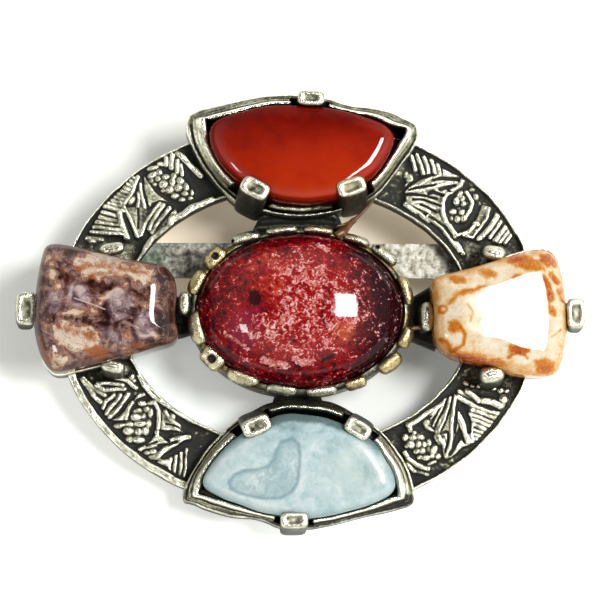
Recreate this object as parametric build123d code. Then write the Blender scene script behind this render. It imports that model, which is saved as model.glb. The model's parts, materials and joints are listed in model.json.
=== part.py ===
"""Gemstone brooch: a cast openwork oval that holds five polished stones, with a pin back behind it.

The brooch is modelled flat, with its back in the plane Z = 0, its face toward +Z and its long axis
along X. At the end the whole is laid down as it rests on a table: on the pin back's hinge and catch
and on the back edge of the bottom setting. All sizes are millimetres.
"""
import os
from collections import namedtuple
from math import asin, atan2, cos, degrees, hypot, pi, radians, sin

from build123d import *

# Ring: a flat oval band with raised borders and a cast relief
RING_LENGTH = 46.6
RING_HEIGHT = 38.0
BAND_WIDTH = 6.35
BAND_THICKNESS = 1.3
RELIEF_RISE = 0.6
OUTER_BORDER = 0.7
INNER_BORDER = 0.45

# Relief on the ring: hatch lines, a toothed leaf and a thistle in each quarter
PANEL_SWEEP = 40.0
HATCH_LINE = 0.34
HATCH_LONGEST = 2.9
HATCH_SHORTEST = 0.65
LEAF_WIDTH = 3.3
LEAF_BLADE_WIDTH = 0.55
HEAD_LENGTH = 4.9
HEAD_WIDTH = 3.3
HEAD_PLATE_SHARE = 0.45
SCALE_RADIUS = 0.36

# Centre stone: an oval cabochon
CENTRE_LENGTH = 20.0
CENTRE_WIDTH = 15.0
CENTRE_GIRDLE = 2.2
CENTRE_DOME = 5.2
CENTRE_SHIFT_X = 0.15
CENTRE_SHIFT_Y = 0.15

# Bezel of the centre stone: a low wall with rounded lobes that fold over the stone
BEZEL_WALL = 0.6
BEZEL_FLOOR = 1.5
BEZEL_WALL_RISE = 2.9
LOBES = 16
LOBE_LENGTH = 2.9
LOBE_DEPTH = 1.3
LOBE_HEIGHT = 1.7
LOBE_ROUND = 0.5

# Top and bottom stones: two arcs that meet in rounded corners, flat on top
LUNE_LENGTH = 19.2
LUNE_RISE = 2.45
LUNE_DROP = 7.45
LUNE_CORNER = 1.5
LUNE_THICKNESS = 5.15
LUNE_SHOULDER = 1.35

# Settings of the top and bottom stones: a tray with a stepped rim
LUNE_WALL = 1.2
LUNE_FLOOR = 1.0
LUNE_LEDGE = 3.4
LUNE_RIM = 4.2
LUNE_OUTSIDE_ROUND = 0.7

# Side stones: a trapezium with a bowed outer end, flat on top
SIDE_LENGTH = 13.6
SIDE_OUTER = 13.2
SIDE_INNER = 7.9
SIDE_BOW = 1.2
SIDE_CORNER = 1.4
SIDE_THICKNESS = 4.9
SIDE_SHOULDER = 1.25

# Settings of the side stones: a shallow tray
SIDE_WALL = 0.25
SIDE_FLOOR = 2.2
SIDE_RIM = 2.8

# Prongs: square claws with rounded tips that stand on the settings
PRONG_WIDTH = 2.5
PRONG_DEPTH = 2.0
PRONG_GRIP = 0.85
PRONG_TOP = 5.6
PRONG_FOOT = 0.6
PRONG_ROUND = 0.38
SIDE_PRONG_TOP = 5.0

# Necks: the short bridges between the settings and the bezel
NECK_LENGTH = 0.85
NECK_WIDTH = 4.2
NECK_HEIGHT = 3.0
SIDE_NECK_WIDTH = 5.0
SIDE_NECK_HEIGHT = 2.0

# Room between a stone and its setting
STONE_GAP = 0.05

# Pin back: a flat strip glued behind the ring
BAR_LENGTH = 38.0
BAR_WIDTH = 3.4
BAR_THICKNESS = 0.8
BAR_Y = 5.64
BAR_GAP = 0.05
PIN_SPAN = 28.0
PIN_DROP = 2.6
PIN_WIRE = 0.9
PIN_POINT = 3.0
PIN_PAST_CATCH = 2.6
FITTING_RADIUS = 1.3
BARREL_RADIUS = 1.05
BARREL_LENGTH = 1.9
FORK_WALL = 0.6
RIVET_RADIUS = 0.35
CATCH_LENGTH = 1.6
CATCH_WALL = 0.5
CATCH_MOUTH = 1.05
PIN_GAP = 0.05

# Outlines of a crescent setting, as the stone's own outline grown by shares of LUNE_WALL
Grow = namedtuple("Grow", "corner_along corner_up outer inner")
CAVITY = Grow(0.35, 0.70, 0.12, 0.08)
RIDGE = Grow(0.85, 0.82, 0.50, 0.62)
OUTSIDE = Grow(1.35, 0.95, 0.85, 0.72)

# Crescent settings: stone and wall are shares of the named sizes, neck a share of NECK_LENGTH, room a
# share of LUNE_WALL left open on the deep side, slide a share of LUNE_LENGTH, turn in degrees. Prongs
# stand at shares of half the stone's length: one on the shallow side, two on the deep side.
Lune = namedtuple("Lune", "name side stone wall room neck slide turn prong_outer prongs_inner")
LUNES = (
    Lune("top_stone", 1, 0.985, 1.10, 0.00, 1.35, 0.018, -2.2, 0.09, (-0.47, 0.51)),
    Lune("bottom_stone", -1, 1.030, 0.90, 0.30, 0.60, 0.000, 1.3, 0.00, (-0.33, 0.56)),
)

# Side settings: length and height are shares of the stone's sizes, gap a share of BEZEL_WALL between
# bezel and stone. Prong places are shares of half the length, prong widths shares of PRONG_WIDTH, and
# lift a share of PRONG_WIDTH by which the outer prong stands above the middle. Slope is the angle in
# degrees by which the stone's top falls toward its outer end.
Side = namedtuple("Side", "name side length height gap lift prong_top prong_bottom outer_width edge_width slope")
SIDES = (
    Side("left_stone", -1, 1.02, 1.03, 1.6, 0.12, -0.06, -0.12, 1.30, 0.90, 0.0),
    Side("right_stone", 1, 0.98, 0.96, 3.0, 0.12, -0.02, -0.11, 1.12, 1.05, 9.0),
)

# Relief panels, each read clockwise from its start angle. Places are shares of PANEL_SWEEP along the
# band and shares of BAND_WIDTH across it, from the inner edge.
Panel = namedtuple("Panel", "start hatch_from hatch_to hatch_lines leaf_base leaf_tip head head_turn")
PANELS = (
    Panel(158.0, 0.12, 0.61, 10, (0.27, 0.22), (0.64, 0.93), (0.74, 0.54), 40.0),
    Panel(62.0, 0.03, 0.27, 6, (0.15, 0.28), (0.40, 0.93), (0.55, 0.57), 78.0),
    Panel(338.0, 0.10, 0.50, 8, (0.66, 0.85), (0.28, 0.25), (0.79, 0.53), 137.0),
    Panel(242.0, 0.04, 0.20, 4, (0.22, 0.72), (0.42, 0.25), (0.51, 0.51), 62.0),
)
HATCH_LEAN = 0.05

# Narrow blade beside the leaf, from the leaf's base: shares along the panel and across the band
BLADE = namedtuple("Blade", "start end drop")(0.05, 0.26, 0.08)

# Petals behind the thistle head: share along from the head and share across, at the tip and the root
PETALS = ((0.125, 0.90, 0.085, 0.72), (0.165, 0.86, 0.105, 0.60), (0.190, 0.70, 0.115, 0.45),
          (0.205, 0.50, 0.115, 0.33), (0.190, 0.28, 0.105, 0.22))

# Half outline of a toothed leaf: share of its length, share of its half width
LEAF = ((0.00, 0.08), (0.20, 0.34), (0.34, 0.98), (0.42, 0.46), (0.62, 0.82), (0.68, 0.30), (1.00, 0.00))

# Scales on a thistle head: rows of share of the length and number in the row
SCALE_ROWS = ((-0.36, 2), (-0.19, 3), (0.00, 4), (0.19, 3), (0.36, 2))


def band_point(angle, across):
    """Point of the ring band: across is 0 on the inner edge and 1 on the outer edge."""
    inset = BAND_WIDTH * (1 - across)
    return ((RING_LENGTH / 2 - inset) * cos(radians(angle)),
            (RING_HEIGHT / 2 - inset) * sin(radians(angle)))


def panel_point(panel, along, across):
    """Point of one relief panel."""
    return band_point(panel.start - PANEL_SWEEP * along, across)


def oval_band(outer_inset, inner_inset):
    """The part of the ring between two insets from its outer edge."""
    outer = Ellipse(RING_LENGTH / 2 - outer_inset, RING_HEIGHT / 2 - outer_inset)
    return outer - Ellipse(RING_LENGTH / 2 - inner_inset, RING_HEIGHT / 2 - inner_inset)


def stroke(start, end, width):
    """A straight raised line between two points."""
    dx, dy = end[0] - start[0], end[1] - start[1]
    length = hypot(dx, dy)
    turn = degrees(atan2(dy, dx))
    middle = ((start[0] + end[0]) / 2, (start[1] + end[1]) / 2)
    return Pos(*middle) * Rot(Z=turn) * Rectangle(length, width)


def hatch(panel):
    """Hatch lines that run inward from the outer border, the first ones longest."""
    lines = []
    for count in range(panel.hatch_lines):
        share = count / (panel.hatch_lines - 1)
        along = panel.hatch_from + (panel.hatch_to - panel.hatch_from) * share
        reach = (HATCH_LONGEST * (1 - share) + HATCH_SHORTEST * share) / BAND_WIDTH
        border = 1 - OUTER_BORDER / BAND_WIDTH / 2
        start = panel_point(panel, along, border)
        end = panel_point(panel, along + HATCH_LEAN, border - reach)
        lines.append(stroke(start, end, HATCH_LINE))
    return lines


def leaf(panel):
    """Toothed leaf from its base to its tip, and one narrow blade beside it."""
    base, tip = panel_point(panel, *panel.leaf_base), panel_point(panel, *panel.leaf_tip)
    length = hypot(tip[0] - base[0], tip[1] - base[1])
    turn = degrees(atan2(tip[1] - base[1], tip[0] - base[0]))
    half = [(share * length, side * LEAF_WIDTH / 2) for share, side in LEAF]
    outline = half + [(x, -y) for x, y in reversed(half[:-1])]
    blade = Pos(*base) * Rot(Z=turn) * make_face(Polyline(*outline, close=True))
    along, across = panel.leaf_base
    side = stroke(panel_point(panel, along + BLADE.start, across - BLADE.drop),
                  panel_point(panel, along + BLADE.end, across), LEAF_BLADE_WIDTH)
    return [blade, side]


def petals(panel):
    """Short strokes that fan out behind the thistle head."""
    along = panel.head[0]
    return [stroke(panel_point(panel, along + p1, v1), panel_point(panel, along + p2, v2), HATCH_LINE)
            for p1, v1, p2, v2 in PETALS]


def head_place(panel):
    """Where a thistle head lies and how it is turned."""
    return Pos(*panel_point(panel, *panel.head)) * Rot(Z=panel.head_turn)


def head_scales(panel):
    """Round scales of a thistle head."""
    scales = []
    for share, number in SCALE_ROWS:
        for count in range(number):
            side = (count - (number - 1) / 2) * HEAD_WIDTH * 0.235
            scales.append(head_place(panel) * Pos(share * HEAD_LENGTH, side) * Circle(SCALE_RADIUS))
    return scales


def ring():
    """The band with its borders, hatch lines, leaves and thistles."""
    floor = extrude(oval_band(0, BAND_WIDTH), BAND_THICKNESS)
    field = oval_band(OUTER_BORDER, BAND_WIDTH - INNER_BORDER)
    borders = oval_band(0, OUTER_BORDER) + oval_band(BAND_WIDTH - INNER_BORDER, BAND_WIDTH)
    high, low = [], []
    for panel in PANELS:
        high += hatch(panel) + leaf(panel) + petals(panel) + head_scales(panel)
        low.append(head_place(panel) * Ellipse(HEAD_LENGTH / 2, HEAD_WIDTH / 2))
    raised = (Sketch() + high) & field
    plates = (Sketch() + low) & field
    relief = Pos(Z=BAND_THICKNESS) * extrude(borders, RELIEF_RISE)
    relief += Pos(Z=BAND_THICKNESS) * extrude(raised, RELIEF_RISE)
    relief += Pos(Z=BAND_THICKNESS) * extrude(plates, RELIEF_RISE * HEAD_PLATE_SHARE)
    return floor + relief


def bezel_half(extra=0.0):
    """Half length and half width of the centre stone, grown by extra."""
    return CENTRE_LENGTH / 2 + extra, CENTRE_WIDTH / 2 + extra


def at_centre(shape, height=0.0):
    """Moves a shape onto the centre stone's axis."""
    return Pos(CENTRE_SHIFT_X, CENTRE_SHIFT_Y, height) * shape


def centre_stone(grow=0.0):
    """Oval cabochon: a straight girdle under a dome. Grow gives the space it needs."""
    half_x, half_y = bezel_half(grow)
    girdle = extrude(Ellipse(half_x, half_y), CENTRE_GIRDLE + grow)
    ball = scale(Sphere(1), by=(half_x, half_y, CENTRE_DOME + grow))
    dome = split(ball, bisect_by=Plane.XY, keep=Keep.TOP)
    stone = girdle + Pos(Z=CENTRE_GIRDLE + grow) * dome
    return at_centre(stone, BEZEL_FLOOR + STONE_GAP - grow)


def bezel():
    """Oval cup that holds the centre stone, without its lobes."""
    half_x, half_y = bezel_half(STONE_GAP + BEZEL_WALL)
    cup = extrude(Ellipse(half_x, half_y), BEZEL_FLOOR + BEZEL_WALL_RISE)
    return at_centre(cup)


def bezel_lobes():
    """Rounded lobes on the bezel's edge, evenly spaced along the oval."""
    half_x, half_y = bezel_half(STONE_GAP + BEZEL_WALL / 2)
    steps = 45 * LOBES
    angles = [2 * pi * step / steps for step in range(steps + 1)]
    path = [(half_x * cos(angle), half_y * sin(angle)) for angle in angles]
    walked = [0.0]
    for (x0, y0), (x1, y1) in zip(path, path[1:]):
        walked.append(walked[-1] + hypot(x1 - x0, y1 - y0))
    block = Box(LOBE_LENGTH, LOBE_DEPTH, LOBE_HEIGHT)
    block = fillet(block.edges(), LOBE_ROUND)
    middle = BEZEL_FLOOR + BEZEL_WALL_RISE + 0.35 * LOBE_HEIGHT - LOBE_HEIGHT / 2
    lobes = []
    for count in range(LOBES):
        target = walked[-1] * (count + 0.5) / LOBES
        index = min(range(len(walked)), key=lambda i: abs(walked[i] - target))
        x, y = path[index]
        turn = degrees(atan2(half_y**2 * x, -half_x**2 * y))
        lobes.append(at_centre(Pos(x, y) * Rot(Z=turn) * block, middle))
    return lobes


def lens(half, corner, outer, inner):
    """Flat shape between a shallow arc and a deep arc that meet at (+-half, corner)."""
    rise, drop = outer - corner, corner - inner
    shallow = (half**2 + rise**2) / (2 * rise)
    deep = (half**2 + drop**2) / (2 * drop)
    return (Pos(0, outer - shallow) * Circle(shallow)) & (Pos(0, inner + deep) * Circle(deep))


def lune_outline(row, grow=None):
    """Outline of a crescent stone, or of its setting when grown. The stone's corners lie on Y = 0."""
    half = row.stone * LUNE_LENGTH / 2
    rise, drop = row.stone * LUNE_RISE, row.stone * LUNE_DROP
    if grow is None:
        return lens(half, 0.0, rise, -drop)
    wall = LUNE_WALL * row.wall
    room = LUNE_WALL * row.room
    return lens(half + grow.corner_along * wall, grow.corner_up * wall,
                rise + grow.outer * wall, -drop - grow.inner * wall - room)


def place_lune(row, shape):
    """Moves a crescent shape from its own axes to its place above or below the bezel."""
    bezel_edge = bezel_half(STONE_GAP + BEZEL_WALL)[1]
    wall = LUNE_WALL * row.wall
    inside = row.stone * LUNE_DROP + OUTSIDE.inner * wall + LUNE_WALL * row.room
    height = bezel_edge + NECK_LENGTH * row.neck + inside
    if row.side < 0:
        shape = mirror(shape, about=Plane.XZ)
    slide = LUNE_LENGTH * row.slide
    return Pos(slide, CENTRE_SHIFT_Y + row.side * height) * Rot(Z=row.turn) * shape


def lune_stone(row, grow=0.0):
    """Crescent stone in its own axes: straight sides, rounded shoulders and a flat top."""
    outline = lune_outline(row)
    outline = fillet(outline.vertices(), LUNE_CORNER)
    if grow:
        outline = offset(outline, grow)
    body = extrude(outline, LUNE_THICKNESS + 2 * grow)
    top = body.faces().sort_by(Axis.Z)[-1].edges()
    body = fillet(top, min(LUNE_SHOULDER, 0.9 * LUNE_CORNER) + grow * 0.9)
    return Pos(Z=LUNE_FLOOR + STONE_GAP - grow) * body


def lune_tray(row):
    """Solid tray of a crescent setting with its stepped rim, before its cavity is cut."""
    outside = fillet(lune_outline(row, OUTSIDE).vertices(), LUNE_OUTSIDE_ROUND)
    ridge = lune_outline(row, RIDGE) & outside
    return extrude(outside, LUNE_LEDGE) + extrude(ridge, LUNE_RIM)


def lune_cavity(row):
    """Space inside the rim of a crescent setting."""
    return Pos(Z=LUNE_FLOOR) * extrude(lune_outline(row, CAVITY), LUNE_RIM)


def claw(width, depth, top):
    """One claw: its back is the plane Y = 0 and it reaches toward -Y."""
    tall = top - PRONG_FOOT
    block = Pos(0, -depth / 2, PRONG_FOOT + tall / 2) * Box(width, depth, tall)
    upper = block.edges().filter_by(Axis.Z) + block.faces().sort_by(Axis.Z)[-1].edges()
    return fillet(upper, PRONG_ROUND)


def lune_prongs(row):
    """Three claws of a crescent setting: one on the shallow side, two on the deep side."""
    half = row.stone * LUNE_LENGTH / 2
    wall = LUNE_WALL * row.wall
    rise = row.stone * LUNE_RISE + OUTSIDE.outer * wall
    x = row.prong_outer * half
    claws = [Pos(x, rise + 0.1 * PRONG_DEPTH) * claw(PRONG_WIDTH, 0.85 * PRONG_DEPTH, PRONG_TOP)]
    drop = row.stone * LUNE_DROP
    deep = (half**2 + drop**2) / (2 * drop)
    for share in row.prongs_inner:
        angle = degrees(asin(share * half / deep))
        reach = deep - PRONG_GRIP + PRONG_DEPTH
        block = claw(PRONG_WIDTH, PRONG_DEPTH, PRONG_TOP)
        claws.append(Pos(0, deep - drop) * Rot(Z=180 + angle) * Pos(0, reach) * block)
    return claws


def side_outline(row):
    """Trapezium with a bowed outer end. Its middle is at X = 0 and its outer end toward +X."""
    half = SIDE_LENGTH * row.length / 2
    outer, inner = SIDE_OUTER * row.height / 2, SIDE_INNER * row.height / 2
    lines = Polyline((half - SIDE_BOW, outer), (-half, inner), (-half, -inner), (half - SIDE_BOW, -outer))
    bow = ThreePointArc((half - SIDE_BOW, -outer), (half, 0), (half - SIDE_BOW, outer))
    return make_face(Curve() + [lines, bow])


def side_outline_rounded(row, grow):
    """The stone's outline with rounded corners, grown all round."""
    outline = fillet(side_outline(row).vertices(), SIDE_CORNER)
    return offset(outline, grow) if grow else outline


def place_side(row, shape):
    """Moves a side setting from its own axes to its place beside the bezel."""
    bezel_edge = bezel_half(STONE_GAP + BEZEL_WALL)[0]
    reach = bezel_edge + BEZEL_WALL * row.gap + SIDE_LENGTH * row.length / 2
    if row.side < 0:
        shape = mirror(shape, about=Plane.YZ)
    return Pos(CENTRE_SHIFT_X + row.side * reach, 0) * shape


def side_stone(row, grow=0.0):
    """Side stone in its own axes, with a flat top that may fall toward its outer end."""
    body = extrude(side_outline_rounded(row, grow), 2 * SIDE_THICKNESS)
    slope = radians(row.slope)
    roof = Plane(origin=(0, 0, SIDE_THICKNESS + 2 * grow), z_dir=(sin(slope), 0, cos(slope)))
    body = split(body, bisect_by=roof, keep=Keep.BOTTOM)
    top = body.faces().sort_by(Axis.Z)[-1].edges()
    body = fillet(top, min(SIDE_SHOULDER, 0.9 * SIDE_CORNER) + grow * 0.9)
    return Pos(Z=SIDE_FLOOR + STONE_GAP - grow) * body


def side_tray(row):
    """Shallow tray under a side stone, before its cavity is cut."""
    return extrude(side_outline_rounded(row, STONE_GAP + SIDE_WALL), SIDE_RIM)


def side_cavity(row):
    """Space inside the rim of a side setting."""
    return Pos(Z=SIDE_FLOOR) * extrude(side_outline_rounded(row, STONE_GAP), SIDE_RIM)


def side_prongs(row):
    """Four claws of a side setting: outer end, inner end, upper edge and lower edge."""
    half = SIDE_LENGTH * row.length / 2
    back = PRONG_DEPTH - PRONG_GRIP
    wide = claw(PRONG_WIDTH * row.outer_width, 1.1 * PRONG_DEPTH, SIDE_PRONG_TOP)
    narrow = claw(PRONG_WIDTH * row.edge_width, PRONG_DEPTH, SIDE_PRONG_TOP)
    claws = [Pos(half + 1.65 * back, PRONG_WIDTH * row.lift) * Rot(Z=-90) * wide]
    claws.append(Pos(-half - 0.75 * back, 0) * Rot(Z=90) * narrow)
    outer, inner = SIDE_OUTER * row.height / 2, SIDE_INNER * row.height / 2
    slope = (outer - inner) / (2 * half - SIDE_BOW)
    lean = degrees(atan2(outer - inner, 2 * half - SIDE_BOW))
    for share, up in ((row.prong_top, 1), (row.prong_bottom, -1)):
        x = share * half
        edge = inner + slope * (x + half)
        face = Pos(x, edge + 0.7 * back) * Rot(Z=lean) * narrow
        claws.append(face if up > 0 else mirror(face, about=Plane.XZ))
    return claws


def necks():
    """Bridges from the bezel to the four settings."""
    half_x, half_y = bezel_half(STONE_GAP)
    bridges = []
    for row in LUNES:
        far = half_y + BEZEL_WALL + NECK_LENGTH * row.neck + LUNE_WALL * row.wall / 2
        wide = NECK_WIDTH * (1 + row.neck) / 2
        shape = Polyline((-wide, half_y - BEZEL_WALL), (-wide / 1.6, far), (wide / 1.6, far),
                         (wide, half_y - BEZEL_WALL), close=True)
        bridge = extrude(make_face(shape), NECK_HEIGHT)
        if row.side < 0:
            bridge = mirror(bridge, about=Plane.XZ)
        bridges.append(at_centre(bridge))
    for row in SIDES:
        far = half_x + BEZEL_WALL * (1 + row.gap) + SIDE_LENGTH / 10
        near = half_x - BEZEL_WALL
        bridge = Pos((near + far) / 2) * Box(far - near, SIDE_NECK_WIDTH, SIDE_NECK_HEIGHT,
                                             align=(Align.CENTER, Align.CENTER, Align.MIN))
        if row.side < 0:
            bridge = mirror(bridge, about=Plane.YZ)
        bridges.append(at_centre(bridge))
    return bridges


def cast_frame():
    """The whole casting: one solid with a seat for each stone."""
    metal = ring() + bezel() + necks()
    metal += [place_lune(row, lune_tray(row)) for row in LUNES]
    metal += [place_side(row, side_tray(row)) for row in SIDES]
    metal -= [place_lune(row, lune_cavity(row)) for row in LUNES]
    metal -= [place_side(row, side_cavity(row)) for row in SIDES]
    metal += bezel_lobes()
    metal += [place_lune(row, prong) for row in LUNES for prong in lune_prongs(row)]
    metal += [place_side(row, prong) for row in SIDES for prong in side_prongs(row)]
    metal -= centre_stone(STONE_GAP)
    metal -= [place_lune(row, lune_stone(row, STONE_GAP)) for row in LUNES]
    metal -= [place_side(row, side_stone(row, STONE_GAP)) for row in SIDES]
    return metal


def pin_bar():
    """Strip behind the ring, with a hinge fork at its left end and a round catch at its right end."""
    strip = Pos(0, BAR_Y, -BAR_GAP - BAR_THICKNESS / 2) * Box(BAR_LENGTH, BAR_WIDTH, BAR_THICKNESS)
    strip = fillet(strip.edges().filter_by(Axis.Z), BAR_WIDTH / 4)
    axis_height = -PIN_DROP
    up = PIN_DROP - BAR_GAP - BAR_THICKNESS / 2
    upright = Pos(0, up / 2) * Rectangle(2 * FITTING_RADIUS, up)
    plate = upright + Circle(FITTING_RADIUS) - Circle(RIVET_RADIUS + PIN_GAP)
    cheek = extrude(plate, FORK_WALL / 2, both=True)
    cheek_offset = BARREL_LENGTH / 2 + PIN_GAP + FORK_WALL / 2
    fork = [Pos(-PIN_SPAN / 2, BAR_Y + side * cheek_offset, axis_height) * Rot(X=90) * cheek
            for side in (-1, 1)]
    loop = upright + Circle(FITTING_RADIUS) - Circle(FITTING_RADIUS - CATCH_WALL)
    loop -= Pos(FITTING_RADIUS, 0) * Rectangle(2 * FITTING_RADIUS, CATCH_MOUTH)
    catch = Rot(Z=90) * Rot(X=90) * extrude(loop, CATCH_LENGTH / 2, both=True)
    return strip + fork + Pos(PIN_SPAN / 2, BAR_Y, axis_height) * catch


def pin_stem():
    """The pin: a barrel on its rivet and a straight wire that ends in a point past the catch."""
    barrel = Rot(X=90) * Cylinder(BARREL_RADIUS, BARREL_LENGTH)
    rivet = Rot(X=90) * Cylinder(RIVET_RADIUS, BARREL_LENGTH + 2 * (PIN_GAP + FORK_WALL))
    straight = PIN_SPAN + PIN_PAST_CATCH - PIN_POINT
    wire = Pos(straight / 2) * Rot(Y=90) * Cylinder(PIN_WIRE / 2, straight)
    point = Pos(straight + PIN_POINT / 2) * Rot(Y=90) * Cone(PIN_WIRE / 2, PIN_WIRE / 12, PIN_POINT)
    return Pos(-PIN_SPAN / 2, BAR_Y, -PIN_DROP) * (barrel + rivet + wire + point)


def rest_turn():
    """Angle in degrees by which the brooch leans when it lies on its fittings and its bottom edge."""
    bottom = place_lune(LUNES[1], lune_outline(LUNES[1], OUTSIDE)).bounding_box().min.Y
    run = BAR_Y - bottom
    return degrees(atan2(PIN_DROP, run) + asin(FITTING_RADIUS / hypot(run, PIN_DROP)))


def main():
    nodes = {"cast_frame": cast_frame(), "centre_stone": centre_stone(),
             "pin_bar": pin_bar(), "pin_stem": pin_stem()}
    nodes.update({row.name: place_lune(row, lune_stone(row)) for row in LUNES})
    nodes.update({row.name: place_side(row, side_stone(row)) for row in SIDES})
    turn = rest_turn()
    laid = {name: Rot(X=turn) * shape for name, shape in nodes.items()}
    box = Compound(children=[Compound(shape.solids()) for shape in laid.values()]).bounding_box()
    shift = (-(box.min.X + box.max.X) / 2, -(box.min.Y + box.max.Y) / 2, -box.min.Z)
    os.makedirs("parts", exist_ok=True)
    for name, shape in laid.items():
        solids = (Pos(*shift) * shape).solids()
        export_step(solids[0] if len(solids) == 1 else Compound(solids), f"parts/{name}.step")
        print(name, len(solids), "solid", round(sum(s.volume for s in solids), 3))
    print("lean", round(turn, 4), "ring centre", [round(v, 5) for v in shift])


main()
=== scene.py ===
"""Looks of the gemstone brooch: a cast openwork oval with five polished stones, lying on its pin back.

Everything is worked out in the brooch's own flat millimetres (back of the ring at height 0, face up,
long axis along x) and then laid down as the CAD lies, with the turn and shift of the garment_face mount.
"""
import json
import math
from collections import defaultdict, namedtuple

import bmesh
import bpy
import numpy as np
from mathutils import Matrix, Vector


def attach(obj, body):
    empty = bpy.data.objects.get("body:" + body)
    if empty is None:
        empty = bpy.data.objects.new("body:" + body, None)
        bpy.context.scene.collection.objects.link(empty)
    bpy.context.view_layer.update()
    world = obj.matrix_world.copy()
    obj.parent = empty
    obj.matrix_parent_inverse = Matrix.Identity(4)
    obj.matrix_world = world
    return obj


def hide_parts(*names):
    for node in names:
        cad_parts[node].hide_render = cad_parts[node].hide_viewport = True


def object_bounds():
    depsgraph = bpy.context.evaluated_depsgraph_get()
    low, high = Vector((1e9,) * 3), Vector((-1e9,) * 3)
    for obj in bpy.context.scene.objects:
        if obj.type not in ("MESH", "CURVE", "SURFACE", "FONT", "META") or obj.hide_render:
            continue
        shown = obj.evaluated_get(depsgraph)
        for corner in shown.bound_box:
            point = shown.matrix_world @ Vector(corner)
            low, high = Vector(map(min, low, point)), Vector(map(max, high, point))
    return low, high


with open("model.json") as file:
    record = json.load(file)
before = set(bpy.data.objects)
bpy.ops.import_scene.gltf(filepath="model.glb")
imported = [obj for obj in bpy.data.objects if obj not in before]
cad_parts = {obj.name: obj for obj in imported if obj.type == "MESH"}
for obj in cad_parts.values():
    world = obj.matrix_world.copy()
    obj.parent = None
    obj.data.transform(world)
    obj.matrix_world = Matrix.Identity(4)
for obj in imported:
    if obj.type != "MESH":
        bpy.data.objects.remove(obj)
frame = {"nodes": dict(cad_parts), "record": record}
cad_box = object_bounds()

# Where the flat brooch lies
MOUNT = next(m for m in frame["record"]["mounts"] if m["name"] == "garment_face")
LEAN = math.atan2(MOUNT["axis"][1], -MOUNT["axis"][2])
ORIGIN = np.array(MOUNT["pos_m"])
TURN = np.array([[1, 0, 0],
                 [0, math.cos(LEAN), -math.sin(LEAN)],
                 [0, math.sin(LEAN), math.cos(LEAN)]])
MM = 0.001

# Sizes of the solids that the pieces replace, in millimetres
RING = (23.3, 19.0)
BAND = 6.35
GROUND = 1.3
CENTRE = np.array([0.15, 0.15])
CENTRE_HALF = np.array([10.0, 7.5])
CENTRE_BASE = 1.55
CENTRE_GIRDLE = 3.75
CENTRE_DOME = 5.2
WALL_HALF = (10.65, 8.15)
SEAT_HALF = (10.05, 7.55)
LOBE_HALF = (10.35, 7.85)
LOBE_TOP = 4.95
LUNE_BASE = 1.05
LUNE_TOP = 6.2
SIDE_BASE = 2.25
SIDE_TOP = 7.15

# How far the dressed stones stay inside their solids
SKIN = 0.01

# Heights at which outlines were read
RELIEF_HEIGHT = 1.75
SETTING_FOOT_HEIGHT = 3.0
SETTING_RIM_HEIGHT = 4.1
LUNE_LINE_HEIGHT = 4.85
SIDE_LINE_HEIGHT = 5.25
DOME_START_HEIGHT = 8.0

# Fineness of the meshes
CURVE_STEPS = 24
PANEL_TURNS = 265
PANEL_END_TURNS = 12
PANEL_ACROSS = 106
SETTING_POINTS = 340
SETTING_STEPS = 40
RIM_POINTS = 720
CLAW_ROWS = 15
CLAW_POINTS = 64
LOBE_STEPS = 39
LOBE_POINTS = 36
WALL_POINTS = 720
NECK_ROWS = 34
NECK_COLUMNS = 60
NECK_UNDERSIDE = (59, 39, 19, 0)
LUNE_POINTS = 400
SIDE_POINTS = 440
STONE_ROWS = 60
DOME_POINTS = 400
DOME_ROWS = 90
STRAND_STEPS = 60
STRAND_POINTS = 14

# The photograph's camera, in the flat brooch
EYE = np.array([-8.0, -36.0, 280.0])
AIM = np.array([0.24, 1.5, 1.8])
FORWARD = (AIM - EYE) / np.linalg.norm(AIM - EYE)
RIGHT = np.cross(FORWARD, [0, 1.0, 0])
RIGHT /= np.linalg.norm(RIGHT)
UP = np.cross(RIGHT, FORWARD)
PICTURE = 600
FOCAL_PIXELS = 2892
PIXELS_PER_MM = 10.3
SENSOR = 36.0

# Enlarged parts of the photograph in which places were read: left, top and enlargement
Drawing = namedtuple("Drawing", "left top scale")
WHOLE = Drawing(0, 0, 1.0)
MIDDLE = Drawing(170, 200, 6.03)
TOP_LEFT = Drawing(180, 85, 12.06)
TOP_RIGHT = Drawing(290, 85, 11.6)
LOW_LEFT = Drawing(175, 390, 10.8)
LOW_RIGHT = Drawing(295, 390, 10.8)
LEFT_STONE = Drawing(10, 230, 8.71)
RIGHT_STONE = Drawing(420, 235, 8.96)

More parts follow.
